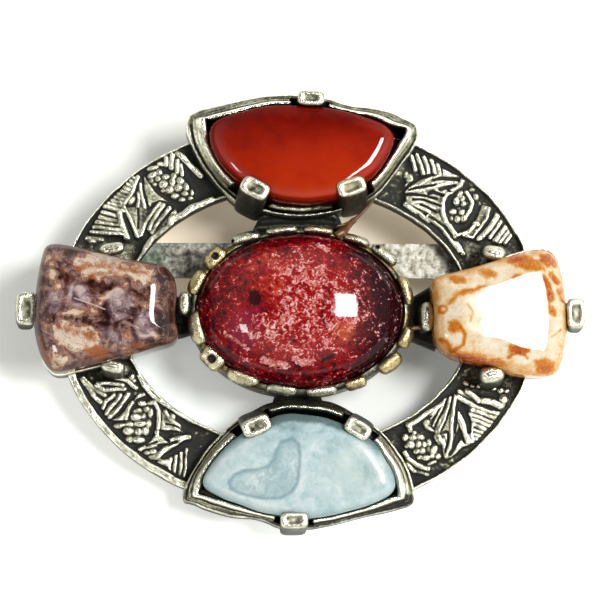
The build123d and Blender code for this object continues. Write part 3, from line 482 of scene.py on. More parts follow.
LEFT_MARKS = {
    "cream": (LEFT_STONE,
        (0, 560, 230, 700, 190, 860, 170, 1010, 190, 1160, 260, 1250, 370, 1200, 470, 1080, 440, 980, 400,
         860, 420, 740, 440, 640, 400, 570, 330),
        (0, 380, 830, 470, 800, 600, 810, 720, 850, 800, 920, 780, 1010, 680, 1050, 560, 1040, 450, 1000,
         390, 920), (0.5, 480, 720, 600, 715, 720, 690, 800, 620, 900, 540, 1000, 480),
        (0.3, 340, 230, 350, 340, 380, 440, 420, 480), (0.35, 1000, 1060, 1060, 1040, 1100, 1050),
        (0.4, 1110, 640, 1160, 660, 1210, 655), (0, 395, 1120, 440, 1090, 500, 1100, 500, 1150, 430, 1160)),
    "orange": (LEFT_STONE,
        (0.5, 600, 330, 700, 300, 840, 300, 960, 330, 1080, 330, 1180, 370),
        (0.35, 700, 400, 830, 380, 930, 370), (0.45, 430, 850, 540, 870, 640, 900, 730, 950),
        (0, 650, 1010, 740, 1000, 850, 1020, 850, 1080, 760, 1095, 660, 1080),
        (0.5, 240, 940, 280, 1060, 330, 1170),
        (0, 660, 1080, 700, 1040, 850, 1030, 870, 1090, 780, 1115, 680, 1105),
        (0.35, 1040, 1000, 1120, 990, 1150, 1010)),
    "mauve": (LEFT_STONE,
        (0, 850, 560, 920, 505, 1010, 520, 1075, 600, 1070, 720, 1000, 795, 910, 790, 855, 700),
        (0, 1090, 700, 1180, 680, 1275, 740, 1280, 860, 1220, 935, 1130, 930, 1080, 840),
        (0, 480, 480, 600, 470, 700, 540, 690, 640, 590, 680, 490, 620),
        (0, 330, 560, 420, 520, 450, 640, 420, 740, 340, 720),
        (0, 760, 830, 880, 850, 960, 900, 940, 980, 840, 960)),
    "dark": (LEFT_STONE,
        (0.55, 835, 560, 845, 700, 900, 805, 1000, 815, 1080, 740),
        (0.45, 1075, 700, 1060, 840, 1130, 950, 1230, 950), (0.3, 560, 590, 640, 640, 740, 670, 860, 700),
        (0.5, 605, 345, 606, 366), (0.6, 250, 300, 220, 480, 215, 700, 240, 900, 280, 1050),
        (0, 1275, 330, 1400, 400, 1440, 560, 1425, 760, 1400, 900, 1300, 960, 1290, 760, 1305, 560),
        (0.35, 700, 440, 780, 480, 860, 500, 980, 480),
        (0.3, 380, 760, 520, 750, 640, 780, 760, 810, 860, 830)),
    "crack": (LEFT_STONE,
        (0.12, 560, 592, 640, 620, 740, 655, 830, 692)),
}
BOTTOM_MARKS = {
    "band": (LOW_LEFT, (0.28, *BOOT, *BOOT[:2])),
    # Painted highlight: the key lamp's soft reflection along the right shoulder
    "white": (WHOLE,
        (0.9, 360, 445, 371, 456, 378, 467, 381, 478), (1.2, 395, 440, 391, 452, 384, 463)),
    "boot": (LOW_LEFT, (0, *BOOT)),
    "green": (LOW_RIGHT,
        (0, 560, 640, 760, 760, 880, 900, 900, 1040, 760, 1120, 560, 1150, 400, 1000, 440, 760)),
}
CENTRE_MARKS = {
    "dark": (MIDDLE,
        (0, 478, 548, 520, 538, 550, 572, 545, 630, 505, 642, 470, 608), (0.3, 533, 368, 540, 382),
        (0.35, 725, 842, 760, 852), (0.22, 958, 540, 930, 620, 915, 700, 940, 770),
        (0.5, 925, 960, 980, 940)),
    "middle": (MIDDLE,
        (0, 600, 360, 760, 330, 950, 420, 1150, 480, 1200, 640, 1130, 820, 980, 920, 800, 960, 600, 920,
         540, 760, 640, 640, 660, 480)),
    "glow": (MIDDLE,
        (0, 430, 380, 560, 300, 700, 330, 680, 520, 640, 640, 560, 600, 480, 480)),
    # Painted reflection: violet tint where the left lamp's reflection lies on the dome
    "painted_reflection_tint": (MIDDLE,
        (0, 330, 720, 420, 660, 540, 640, 560, 760, 500, 880, 380, 880)),
    "pale": (MIDDLE,
        (0.6, 560, 960, 620, 985, 700, 1000), (0.55, 750, 965, 800, 985, 850, 975),
        (0.45, 890, 270, 950, 300), (0.2, 330, 800, 400, 850, 470, 900), (0.22, 420, 760, 500, 820)),
    "orange": (MIDDLE,
        (0, 1000, 735, 1100, 745, 1110, 800, 1060, 850, 990, 830)),
}


def seen(drawing, places, height):
    """Flat millimetres of places x, y, x, y read in a drawing, at one height or one for each."""
    corner = np.array([drawing.left, drawing.top]) - PICTURE / 2
    places = np.reshape(places, (-1, 2)) / drawing.scale + corner
    ray = FORWARD + (places[:, :1] * RIGHT - places[:, 1:] * UP) / FOCAL_PIXELS
    return (EYE + ray * ((height - EYE[2]) / ray[:, 2])[:, None])[:, :2]


def seen_parts(parts, height):
    """One line from several drawings."""
    return np.concatenate([seen(drawing, places, height) for drawing, *places in parts])


def lay(points):
    """Flat millimetres to metres in the shared frame."""
    return (np.asarray(points) * MM) @ TURN.T + ORIGIN


def lifted(xy, z=0.0):
    """Points over flat places."""
    return np.concatenate([xy, np.broadcast_to(z, xy.shape[:-1])[..., None]], -1)


def length(v):
    """Length of each flat vector."""
    return np.hypot(v[..., 0], v[..., 1])


def unit(v):
    """Each vector at length 1."""
    return v / np.maximum(np.linalg.norm(v, axis=-1, keepdims=True), 1e-9)


def heading(angles):
    """Flat unit vectors at turns in radians."""
    return np.stack([np.cos(angles), np.sin(angles)], -1)


def full_turn(count):
    """Even turns round a circle."""
    return np.linspace(0, 2 * math.pi, count, endpoint=False)


def smooth(low, high, value):
    """0 below low, 1 above high, smooth between."""
    t = np.clip((value - low) / (high - low), 0, 1)
    return t * t * (3 - 2 * t)


def noise(points, size, seed=0):
    """Smooth random value from -1 to 1 at each point. Size is the width of one bump."""
    p = points / size + 100.37
    cell = np.floor(p).astype(np.int64)
    part = p - cell
    part = part * part * (3 - 2 * part)
    total = np.zeros(p.shape[:-1])
    for corner in range(8):
        step = np.array([corner & 1, corner >> 1 & 1, corner >> 2 & 1])
        h = ((cell + step) @ [374761393, 668265263, 1442695041] + seed * 974634777) & 0x7FFFFFFF
        h = ((h ^ (h >> 13)) * 1274126177) & 0x7FFFFFFF
        h = ((h ^ (h >> 15)) * 2246822519) & 0x7FFFFFFF
        value = ((h ^ (h >> 12)) & 0xFFFFF) / 0xFFFFF
        total += value * np.prod(np.where(step, part, 1 - part), -1)
    return total * 2 - 1


def rough(points, size, seed=0, layers=3):
    """Several layers of noise, each half as wide and half as strong as the one before."""
    total = sum(noise(points, size / 2**layer, seed + layer) / 2**layer for layer in range(layers))
    return total / (2 - 0.5 ** (layers - 1))


def path_distance(xy, path):
    """Distance from each place to a line through the path's points."""
    best = np.inf
    for start, end in zip(path[:-1], path[1:]):
        run = end - start
        share = np.clip(((xy - start) @ run) / max(run @ run, 1e-9), 0, 1)
        best = np.minimum(best, length(xy - start - share[..., None] * run))
    return best


def edge_distance(xy, outline):
    """Distance to a closed outline, above 0 inside it."""
    inside = False
    for (x0, y0), (x1, y1) in zip(outline, np.roll(outline, -1, 0)):
        crosses = (y0 > xy[..., 1]) != (y1 > xy[..., 1])
        at = x0 + (xy[..., 1] - y0) * (x1 - x0) / (y1 - y0 if y1 != y0 else 1e-9)
        inside = inside ^ (crosses & (xy[..., 0] < at))
    far = path_distance(xy, np.vstack([outline, outline[:1]]))
    return np.where(inside, far, -far)


def walk(steps):
    """Distance walked before each point, from the steps between them."""
    return np.concatenate([[0], np.cumsum(steps)])


def rows_at(places, walked, rows):
    """Rows of numbers at distances along a line."""
    return np.stack([np.interp(places, walked, column) for column in np.transpose(rows)], -1)


def curve(points, count, closed=False):
    """A smooth line through the points, at even steps."""
    if closed:
        points = np.vstack([points, points[:1]])
        before, after = points[-2], points[1]
    else:
        before, after = 2 * points[0] - points[1], 2 * points[-1] - points[-2]
    full = np.vstack([before, points, after])
    t = np.linspace(0, 1, CURVE_STEPS, endpoint=False)[:, None]
    parts = [b + 0.5 * ((c - a) * t + (2 * a - 5 * b + 4 * c - d) * t**2 + (3 * b - a - 3 * c + d) * t**3)
             for a, b, c, d in zip(full[:-3], full[1:-2], full[2:-1], full[3:])]
    line = np.vstack(parts + [points[-1:]])
    walked = walk(length(np.diff(line, axis=0)))
    places = np.linspace(0, walked[-1], count + 1)
    return rows_at(places[:-1] if closed else places, walked, line)


def soften(line, spread):
    """Rounds a closed line by averaging over a distance."""
    step = length(np.roll(line, -1, 0) - line).mean()
    reach = max(1, int(3 * spread / step))
    offsets = np.arange(-reach, reach + 1)
    weights = np.exp(-0.5 * (offsets * step / spread) ** 2)
    return sum(w * np.roll(line, -o, 0) for o, w in zip(offsets, weights / weights.sum()))


def spread_out(sheet, rows, columns):
    """Average of a sheet over so many rows and columns."""
    for axis, reach in ((0, rows), (1, columns)):
        span = np.arange(-3 * reach, 3 * reach + 1)
        weights = np.exp(-0.5 * (span / reach) ** 2)
        last = sheet.shape[axis] - 1
        places = [np.clip(np.arange(last + 1) + k, 0, last) for k in span]
        sheet = sum(w * np.take(sheet, place, axis) for w, place in zip(weights / weights.sum(), places))
    return sheet


def added(name, data):
    """A new object in the scene."""
    made = bpy.data.objects.new(name, data)
    bpy.context.scene.collection.objects.link(made)
    return made


class Form:
    """Vertices, faces and per-vertex values of one piece."""

    def __init__(self):
        self.points, self.faces, self.values = [], [], defaultdict(list)
        self.count = 0

    def tube(self, points, around_rows=False, **values):
        """Adds rows x columns points, closed round the columns or round the rows, with flat ends."""
        rows, columns = points.shape[:2]
        index = np.arange(rows * columns).reshape(rows, columns) + self.count
        if around_rows:
            a, ends = np.vstack([index, index[:1]]), (index[:, -1], index[::-1, 0])
        else:
            a, ends = np.hstack([index, index[:, :1]]), (index[0], index[-1, ::-1])
        quads = np.stack([a[:-1, :-1], a[1:, :-1], a[1:, 1:], a[:-1, 1:]], -1).reshape(-1, 4)
        self.faces += quads.tolist() + [end.tolist() for end in ends]
        self.points.append(points.reshape(-1, 3))
        for name, value in values.items():
            self.values[name].append(np.broadcast_to(value, (rows, columns)).ravel())
        self.count += rows * columns

    def piece(self, name, material, node="cast_frame"):
        """Makes the object, which rides with the body and replaces its node."""
        mesh = bpy.data.meshes.new(name)
        mesh.from_pydata(lay(np.concatenate(self.points)).tolist(), [], self.faces)
        shape = bmesh.new()
        shape.from_mesh(mesh)
        bmesh.ops.recalc_face_normals(shape, faces=shape.faces)
        shape.to_mesh(mesh)
        shape.free()
        for label, parts in self.values.items():
            attribute = mesh.attributes.new(label, "FLOAT", "POINT")
            attribute.data.foreach_set("value", np.concatenate(parts).astype(np.float32))
        mesh.polygons.foreach_set("use_smooth", [True] * len(mesh.polygons))
        mesh.materials.append(material)
        made = added(name, mesh)
        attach(made, "root")
        if node:
            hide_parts(node)


# Ring

def relief(quarter, xy, across, band):
    """Height of the cast relief above the ground."""
    drawing, plates, ridges, cuts, bumps = RELIEF[quarter.name]
    size = 1 / drawing.scale / PIXELS_PER_MM
    flat = lifted(xy)

    def lump(wide, number):
        return noise(flat, wide, quarter.seed + number)

    at = xy + 0.09 * np.stack([lump(0.9, 0), lump(0.9, 1)], -1)
    height = 0.0
    for top, *places in plates:
        far = edge_distance(at, seen(drawing, places, RELIEF_HEIGHT))
        height = np.maximum(height, top * smooth(-0.12, 0.16, far))
    for wide, top, *places in ridges:
        share = path_distance(at, seen(drawing, places, RELIEF_HEIGHT)) / (wide * size / 2 + 0.13)
        height = np.maximum(height, top * np.clip(1 - share**4, 0, 1) ** 0.5)
    for x, y, half_long, half_wide, turn, top in bumps:
        along = heading(math.radians(-turn))
        away = at - seen(drawing, (x, y), RELIEF_HEIGHT)
        share = np.hypot(away @ along / (half_long * size * 1.42 + 0.04),
                         away @ [-along[1], along[0]] / (half_wide * size * 1.42 + 0.04))
        height = np.maximum(height, top * np.clip(1 - share**3.6, 0, 1) ** 0.7)
    for wide, depth, *places in cuts:
        share = path_distance(at, seen(drawing, places, RELIEF_HEIGHT)) / (wide * size / 2 + 0.05)
        height = np.maximum(height - depth * np.clip(1.05 * (1 - share**2), 0, 1), 0)
    # Rims along both edges, the outer one with a clear gap inside it
    from_out = (1 - across) * band + 0.05 * lump(1.6, 2)
    from_in = across * band + 0.06 * lump(1.2, 3)
    rim = quarter.outer_rim * (1 + 0.25 * lump(2.4, 4))
    end = rim + quarter.rim_gap
    if quarter.rim_gap:
        clear = smooth(rim - 0.05, rim + 0.1, from_out) * smooth(end + 0.12, end - 0.14, from_out)
        height = height * (1 - clear)
    outer = 0.62 * smooth(-0.05, 0.1, from_out) * smooth(rim + 0.14, rim - 0.1, from_out)
    rim = quarter.inner_rim
    inner = 0.55 * smooth(-0.05, 0.08, from_in) * smooth(rim + 0.14, rim - 0.08, from_in)
    height = np.maximum(height, np.maximum(outer, inner))
    raised = smooth(0.05, 0.4, height)
    height = height + (0.05 + 0.015 * raised) * rough(flat, 0.5, quarter.seed + 5)
    height = height + 0.07 * lump(1.3, 7) * (0.35 + 0.65 * raised)
    return np.maximum(height, -0.15)


def ring_panel(quarter, metal):
    """One quarter of the ring, with its walls and back."""
    turns = np.concatenate([np.linspace(quarter.first, quarter.dense_first, PANEL_END_TURNS)[:-1],
                            np.linspace(quarter.dense_first, quarter.dense_last, PANEL_TURNS),
                            np.linspace(quarter.dense_last, quarter.last, PANEL_END_TURNS)[1:]])
    across = np.linspace(0, 1, PANEL_ACROSS)
    middle = (quarter.dense_first + quarter.dense_last) / 2
    away = np.abs(turns - middle)[:, None] / abs(quarter.dense_first - middle)
    grow = quarter.grow * (1 - smooth(0.6, 1.25, away))
    band = BAND + grow
    radial = heading(np.radians(turns))[:, None]
    xy = (RING - (band * (1 - across) - grow)[..., None]) * radial
    height = relief(quarter, xy, across, band)
    height = np.maximum(height, 0.8 * spread_out(height, 4, 5))
    # Rubbed where it stands up, black where it lies between
    crease = height - spread_out(height, 2, 2)
    edges = height - spread_out(height, 4, 5)
    hollow = height - spread_out(height, 11, 13)
    flat = lifted(xy)
    stain = rough(flat, 3.2, quarter.seed + 12)
    crust = rough(flat, 0.8, quarter.seed + 15)
    flecks = smooth(0.25, 0.6, rough(flat, 0.42, quarter.seed + 18, 2)) * smooth(0.35, 0.1, height)
    # Painted shade on the low ground near both ends of the quarter, beside the settings
    dull = smooth(0.66, 0.98, away) * smooth(0.45, 0.1, height)
    # Painted shade: darker ground beside the crescent setting, which lies straight up or straight down
    setting = 90 if max(quarter.first, quarter.last) <= 180 else 270
    beside = smooth(41, 31, np.abs(turns - setting))[:, None] * smooth(0.45, 0.15, height)
    worn = 0.51 + 3.2 * crease + 1.4 * edges + 0.7 * hollow + 0.25 * (height - 0.3)
    worn = worn + 0.16 * stain + 0.3 * crust + 0.45 * flecks - 0.5 * dull
    # Painted shade toward the outer edge and beside the crescent setting
    worn = worn - quarter.dark * smooth(0.55, 1.0, across) - quarter.ink * (0.8 - 0.5 * crust) * beside
    # Both edges draw in here and there
    pull = np.minimum(0.07 * noise(flat, 1.3, quarter.seed + 9), 0)
    pull = pull * np.where(across > 0.5, smooth(0.92, 1.0, across), -smooth(0.08, 0.0, across))
    top = lifted(xy + radial * pull[..., None], GROUND + height)
    walls = [top[:, column] * (1, 1, share)
             for column, shares in ((-1, (0.7, 0.35, 0)), (0, (0, 0.35, 0.7))) for share in shares]
    wall_wear = np.broadcast_to([0.5] * 3 + [0.16] * 3, (len(turns), 6))
    form = Form()
    form.tube(np.hstack([top, np.stack(walls, 1)]), wear=np.hstack([worn, wall_wear]), brass=0.0)
    form.piece("ring_" + quarter.name, metal)


# Crescent settings

# Cross-sections from the outer wall to the floor: share of the wall's width, height, wear
SHALLOW_WALL = (
    (0, 0, .25), (0, .9, .3), (0, 1.8, .35), (0, 2.5, .5), (.04, 2.85, .7), (.11, 3, .6), (.18, 2.98, .28),
    (.25, 3.06, .52), (.33, 3.12, .36), (.41, 3.2, .55), (.48, 3.2, .3), (.53, 3.24, .15), (.57, 3.4, .3),
    (.62, 3.8, .9), (.7, 4.1, 1.05), (.8, 4.2, 1.1), (.9, 4.16, 1.05), (.96, 4, .85), (1, 3.7, .3),
    (1, 2.8, .05), (1, 2, 0), (1, 1, 0),
)
ARM_WALL = (
    (0, 0, .25), (0, .8, .35), (0, 1.5, .4), (0, 2.1, .6), (.03, 2.6, .85), (.09, 2.85, .9),
    (.14, 2.82, .7), (.19, 2.7, .25), (.23, 2.6, .1), (.27, 2.85, .3), (.31, 3.2, .65), (.36, 3.45, .8),
    (.41, 3.55, .7), (.46, 3.62, .45), (.5, 3.75, .6), (.56, 3.95, .85), (.63, 4.1, .75), (.71, 4.2, .95),
    (.8, 4.24, 1.1), (.89, 4.2, 1.1), (.96, 4.05, .9), (1, 3.7, .3), (1, 2.6, 0), (1, 1, 0),
)
APEX_WALLS = {
    "top": (
        (0, 0, .2), (0, .8, .2), (0, 1.5, .2), (0, 2.1, .2), (.04, 2.6, .2), (.1, 2.95, .22),
        (.15, 3.2, .35), (.2, 3.5, .8), (.25, 3.62, 1), (.31, 3.6, 1), (.36, 3.4, .7), (.4, 2.9, .1),
        (.44, 2.4, 0), (.5, 2.3, 0), (.55, 2.6, 0), (.59, 3.1, .2), (.63, 3.35, .42), (.72, 3.42, .5),
        (.82, 3.4, .45), (.92, 3.36, .4), (.99, 3.3, .2), (1, 2.4, 0), (1, 1, 0),
    ),
    "bottom": (
        (0, 0, .2), (0, .8, .2), (0, 1.5, .25), (0, 2.3, .3), (.04, 2.8, .4), (.1, 3.1, .35), (.17, 3.2, .2),
        (.24, 3.3, .25), (.31, 3.45, .3), (.38, 3.65, .35), (.44, 3.9, .6), (.5, 4.1, .85), (.56, 4.16, .95),
        (.62, 4.12, .9), (.68, 3.95, .7), (.72, 3.5, .2), (.75, 2.8, 0), (.8, 2, 0), (.85, 1.5, 0),
        (.9, 1.2, 0), (.96, 1.1, 0), (1, 1, 0), (1, 1, 0),
    ),
}


def section(rows):
    """A cross-section at even steps."""
    walked = walk(length(np.diff(rows, axis=0) * (1.3, 0.7, 0)) + 0.05)
    return rows_at(np.linspace(0, walked[-1], SETTING_STEPS), walked, rows)


def lune_setting(name, metal, seed):
    """Tray of a crescent stone: stepped cast rim, broken beside each claw."""
    lune = LUNES[name]
    outer, inner = (
        np.vstack([curve(seen_parts(side, height), SETTING_POINTS)[:-1] for side in sides])
        for sides, height in (((lune.shallow_out, lune.deep_out), SETTING_FOOT_HEIGHT),
                              ((lune.shallow_in, lune.deep_in), SETTING_RIM_HEIGHT)))
    outer, inner = soften(outer, 0.16), soften(inner, 0.08)
    count = len(inner)
    # The rim closes up to the stone
    to_stone = curve(seen_parts(lune.stone, LUNE_LINE_HEIGHT), RIM_POINTS, closed=True) - inner[:, None]
    to_stone = to_stone[np.arange(count), np.argmin(length(to_stone), 1)]
    apart = length(to_stone)[:, None]
    pull = np.clip(apart - 0.06, -0.5, 0.3) * (1 - 0.6 * smooth(0.7, 1.3, apart))
    inner = soften(inner + unit(to_stone) * pull, 0.12)
    # The deep side has another section than the shallow one, and the part between its claws a third
    position = np.arange(count) / (count / 2)
    on_deep = (position >= 1).astype(float)
    along = position % 1
    to_corner = np.minimum(along, 1 - along) * length(np.roll(inner, -1, 0) - inner).sum() / 2
    blend = 0.5 + (on_deep - 0.5) * smooth(0.0, 0.6, to_corner)
    ahead = unit(np.roll(inner, -2, 0) - np.roll(inner, 2, 0))
    gap = np.zeros(count)
    marks = []
    for number, spec in enumerate(CLAWS[name]):
        apart = seen(spec.drawing, (spec.x, spec.y), spec.top) - inner
        near = np.abs((apart * ahead).sum(1)) + 10 * (length(apart) > 4)
        side = on_deep if number else 1 - on_deep
        gap = np.maximum(gap, smooth(spec.wide + 0.55, spec.wide + 0.28, near) * side)
        marks.append(along[np.argmin(near + 10 * (1 - side))])
    start, end = sorted(marks[1:])
    between = on_deep * smooth(start, start + 0.04, along) * smooth(end, end - 0.04, along)
    mixed = section(SHALLOW_WALL) * (1 - blend)[:, None, None] + section(ARM_WALL) * blend[:, None, None]
    mixed = mixed * (1 - between)[:, None, None] + section(APEX_WALLS[name]) * between[:, None, None]
    share, height, worn = np.moveaxis(mixed, -1, 0)
    xy = outer[:, None] + (inner - outer)[:, None] * share[..., None]
    lump = rough(lifted(xy, height * 0.6), 1.0, seed)
    wander = noise(lifted(inner), 1.8, seed + 5)[:, None]
    upper = smooth(1.6, 2.6, height)
    free = smooth(0.0, 0.1, share) * smooth(1.0, 0.93, share)
    xy = xy + unit(inner - outer)[:, None] * ((lump + wander) * 0.05 * free * upper)[..., None]
    gap, on_deep, between = gap[:, None], on_deep[:, None], between[:, None]
    cut = gap * smooth(0.3, 0.46, share)
    height = height - cut * np.maximum(height - 2.6, 0) * 0.92 - gap * np.maximum(height - 2.9, 0) * 0.3
    height = height + lump * 0.11 * upper
    worn = worn * (1 - gap * smooth(0.25, 0.45, share))
    streaks = np.stack(np.broadcast_arrays(share * 11, along[:, None] * 6.6, float(seed)), -1)
    worn = worn + 0.42 * noise(streaks, 1.0, seed + 8) * smooth(0.1, 0.4, worn)
    worn = worn - lune.dull * smooth(0.75, 0.4, share) * (1 - on_deep)
    worn = worn + 0.2 * lump * smooth(0.15, 0.4, worn)
    form = Form()
    brown = lune.brown * between * smooth(0.55, 0.65, share)
    form.tube(lifted(xy, height), around_rows=True, wear=worn, brass=brown)
    form.piece("setting_" + name, metal)


# Claws

# Shares of the end face from its edge in, with the wear of a flat face and of a bead
FACE_WEAR = ((.92, 1, .6), (.82, .85, .42), (.7, .6, .48), (.57, .5, .74), (.43, .5, .86), (.3, .52, .84),
             (.17, .56, .8), (.06, .6, .8))


def claw(form, spec, seed):
    """A claw: a bar that rises from its foot, leans over the stone and ends in a rounded face."""
    face = seen(spec.drawing, (spec.x, spec.y), spec.top)[0]
    inward = heading(math.radians(spec.turn))
    sideways = np.array([-inward[1], inward[0]])
    deep, wide, foot = spec.deep, spec.wide, spec.foot
    power, dish, bend = (2.7, -0.06, deep * 0.72) if spec.bead else (3.8, 0.13, min(0.30, deep * 0.42))
    around = heading(full_turn(CLAW_POINTS))
    shape = np.sign(around) * np.abs(around) ** (2 / power)
    neck = spec.top - bend
    # Rings of points: height, place behind the face, half depth, half width, wear, share in the face
    rings = []
    for share in np.linspace(0, 1, CLAW_ROWS):
        rings.append((0.6 + (neck - 0.6) * share, foot * (1 - share**1.6), deep * (0.85 + 0.15 * share),
                      wide * (0.96 + 0.04 * share), 0.10 + 0.24 * share**3, 0))
    for turn in np.radians((15, 32, 50, 68, 90)):
        less, rise = bend * (1 - math.cos(turn)), math.sin(turn)
        rings.append((neck + bend * rise, 0, deep - less, wide - less, 0.32 + 0.58 * rise, 0))
    for share, *wears in FACE_WEAR:
        rings.append((spec.top - dish * smooth(0.9, 0.4, share), 0, (deep - bend) * share,
                      (wide - bend) * share, wears[spec.bead], smooth(0.95, 0.6, share)))
    height, back, half_deep, half_wide, worn, upper = np.transpose(rings)[..., None]
    side, depth = shape[:, 0] * half_wide, back + shape[:, 1] * half_deep
    points = lifted(face - inward * depth[..., None] + sideways * side[..., None], height)
    lump = rough(points, 0.9, seed) * smooth(0.6, 2.5, points[..., 2])
    points += lump[..., None] * (*inward * 0.06, 0.07)
    low = np.maximum(rough(points + 7.0, 0.55, seed + 4, 2) - 0.1, 0) * spec.pit * upper
    points[..., 2] -= low * 0.2
    streak = noise(points * (2.6, 2.6, 0.5), 1.0, seed + 6)
    form.tube(points, wear=worn - low * 1.3 + 0.16 * streak, brass=spec.brass)


def claws(name, metal, seed):
    """The claws of one setting."""
    form = Form()
    for number, spec in enumerate(CLAWS[name]):
        claw(form, spec, seed + 7 * number)
    form.piece("prongs_" + name, metal)


# Side settings and bezel

def side_line(row, grow):
    """Outline of a side stone grown by a distance."""
    drawing, *places = SIDE_LINES[row.name]
    line = soften(curve(seen(drawing, places, SIDE_LINE_HEIGHT), SIDE_POINTS, closed=True), 0.16)
    ahead = unit(np.roll(line, -1, 0) - np.roll(line, 1, 0))
    return line + np.stack([-ahead[:, 1], ahead[:, 0]], -1) * grow


def wall(outside, seat, rows):
    """Points and wear of a wall between two lines, from rows of share of its width, height and wear."""
    share, height, worn = np.transpose(rows)[..., None]
    return lifted(outside + (seat - outside) * share[..., None], height), worn


def side_tray(row, metal, seed):
    """Shallow tray under a side stone."""
    inner = smooth(-1.0, 4.0, (row.middle - side_line(row, 0.0)[:, :1]) * row.side)
    outside, seat = (side_line(row, grow - 0.4 * inner) + row.tray_shift for grow in (0.12, -0.12))
    points, worn = wall(outside, seat, (
        (0, 0, .2), (0, 1, .25), (0, 1.9, .4), (0, 2.45, .7), (.15, 2.7, .95), (.5, 2.8, 1), (.85, 2.75, .8),
        (1, 2.6, .4), (1, 2.2, .1)))
    lump = rough(points, 1.4, seed)
    points[..., 2] += 0.1 * np.minimum(lump, 0.2) * smooth(1.5, 2.5, points[..., 2])
    inner = smooth(0.0, 6.0, (row.middle - points[..., 0]) * row.side)
    form = Form()
    form.tube(points, wear=worn + 0.3 * lump - 0.45 * inner, brass=0.0)
    form.piece("tray_" + row.name, metal)


def bezel_wall(metal):
    """The low wall round the centre stone, amber in four places."""
    turns = full_turn(WALL_POINTS)
    points, worn = wall(CENTRE + WALL_HALF * heading(turns), CENTRE + SEAT_HALF * heading(turns), (
        (0, 0, .2), (0, 1.4, .25), (0, 2.8, .3), (0, 3.6, .35), (.1, 4, .35), (.35, 4.2, .4), (.7, 4.3, .5),
        (.92, 4.3, .6), (1, 4, .4), (1, 2.6, 0), (1, 1.5, 0)))
    lump = rough(points, 1.0, 71)
    points[..., 2] += 0.1 * lump * smooth(2.8, 3.6, points[..., 2])
    turns = np.degrees(turns)
    amber = [smooth(first - 4, first + 4, turns) * smooth(last + 4, last - 4, turns)
             for first, last in ((28, 62), (128, 152), (205, 250), (335, 358))]
    form = Form()
    form.tube(points, wear=worn + 0.3 * lump, brass=0.9 * np.max(amber, 0))
    form.piece("bezel_wall", metal)


def bezel_lobes(metal):
    """Sixteen rounded bars that fold over the centre stone."""
    form = Form()
    steps = np.linspace(-1, 1, LOBE_STEPS)[:, None]
    around = full_turn(LOBE_POINTS)
    pixel = 1 / MIDDLE.scale / PIXELS_PER_MM
    size = np.clip(1 - np.abs(steps) ** 4.5, 0, 1) ** 0.5
    up = 0.80 * size * np.sin(around)
    for number, lobe in enumerate(LOBES):
        first, last = seen(MIDDLE, (lobe.ax, lobe.ay, lobe.bx, lobe.by), LOBE_TOP - 0.2)
        half_wide = lobe.wide * pixel / 2 + 0.05
        middle, run = (first + last) / 2, unit(last - first)
        half = length(last - first) / 2 + 0.06
        out = middle - CENTRE
        # The bar bends with the oval
        lean = length(out / np.array(LOBE_HALF) ** 2)
        bow = 0.5 * half**2 / ((LOBE_HALF[0] * LOBE_HALF[1]) ** 2 * lean**3)
        out = unit(out - run * (out @ run))
        side = half_wide * size * np.cos(around)
        xy = middle + run * (steps * half)[..., None] + out * (side - bow * steps**2)[..., None]
        points = lifted(xy, LOBE_TOP - 0.82 + up - 0.14 * side / half_wide)
        lump = rough(points, 0.9, 300 + number)
        points += lump[..., None] * (*out * 0.09, 0.08)
        upper = smooth(-0.2, 0.75, np.sin(around)) * smooth(1.0, 0.88, np.abs(steps))
        wear = 0.28 + 0.52 * upper + 0.2 * lump
        if lobe.pit:
            away = length(points[..., :2] - seen(MIDDLE, (lobe.pit_x, lobe.pit_y), LOBE_TOP))
            hole = smooth(1.0, 0.5, away / (lobe.pit * pixel)) * (up > 0)
            points[..., 2] -= 0.45 * hole
            wear = wear * (1 - hole) - 0.3 * hole
        form.tube(points, wear=wear, brass=lobe.brass + 0.15)
    form.piece("bezel_lobes", metal)


# Necks between the bezel and the settings: four corners, height and number of cast lines
Neck = namedtuple("Neck", "a b c d height lines")
NECKS = (
    Neck((-4.9, 7.2), (5.2, 7.2), (3.9, 9.9), (-3.6, 9.9), 2.9, 5),
    Neck((-2.0, -7.2), (1.9, -7.2), (2.9, -9.3), (-2.7, -9.3), 2.9, 3),
    Neck((-12.2, 2.0), (-12.2, -2.4), (-9.6, -1.6), (-9.6, 1.4), 2.1, 2),
    Neck((9.8, 1.0), (9.8, -1.8), (13.4, -3.3), (13.4, 3.2), 2.6, 2),
)


def necks(metal):
    """Short dark bridges with a few cast lines."""
    form = Form()
    s, t = np.linspace(0, 1, NECK_ROWS)[:, None], np.linspace(0, 1, NECK_COLUMNS)
    for number, neck in enumerate(NECKS):
        a, b, c, d = np.array(neck[:4])
        near = a + (b - a) * t[:, None]
        far = d + (c - d) * t[:, None]
        xy = near + (far - near) * s[..., None]
        lump = rough(lifted(xy), 0.7, 500 + number)
        bars = np.sin((s + 0.10 * (2 * t - 1) ** 2) * math.pi * 2 * neck.lines / 2.2)
        edge = smooth(0, 0.06, t) * smooth(1, 0.94, t)
        top = lifted(xy, neck.height - 0.5 + 0.14 * bars + 0.12 * lump - 0.5 * (1 - edge))
        worn = 0.10 + 0.22 * smooth(0.3, 1.0, bars) + 0.15 * lump
        under = top[:, NECK_UNDERSIDE] * (1, 1, 0)
        wear = np.hstack([worn, np.full(under.shape[:2], 0.1)])
        form.tube(np.hstack([top, under]), wear=wear, brass=0.0)
    form.piece("necks", metal)


# Stones

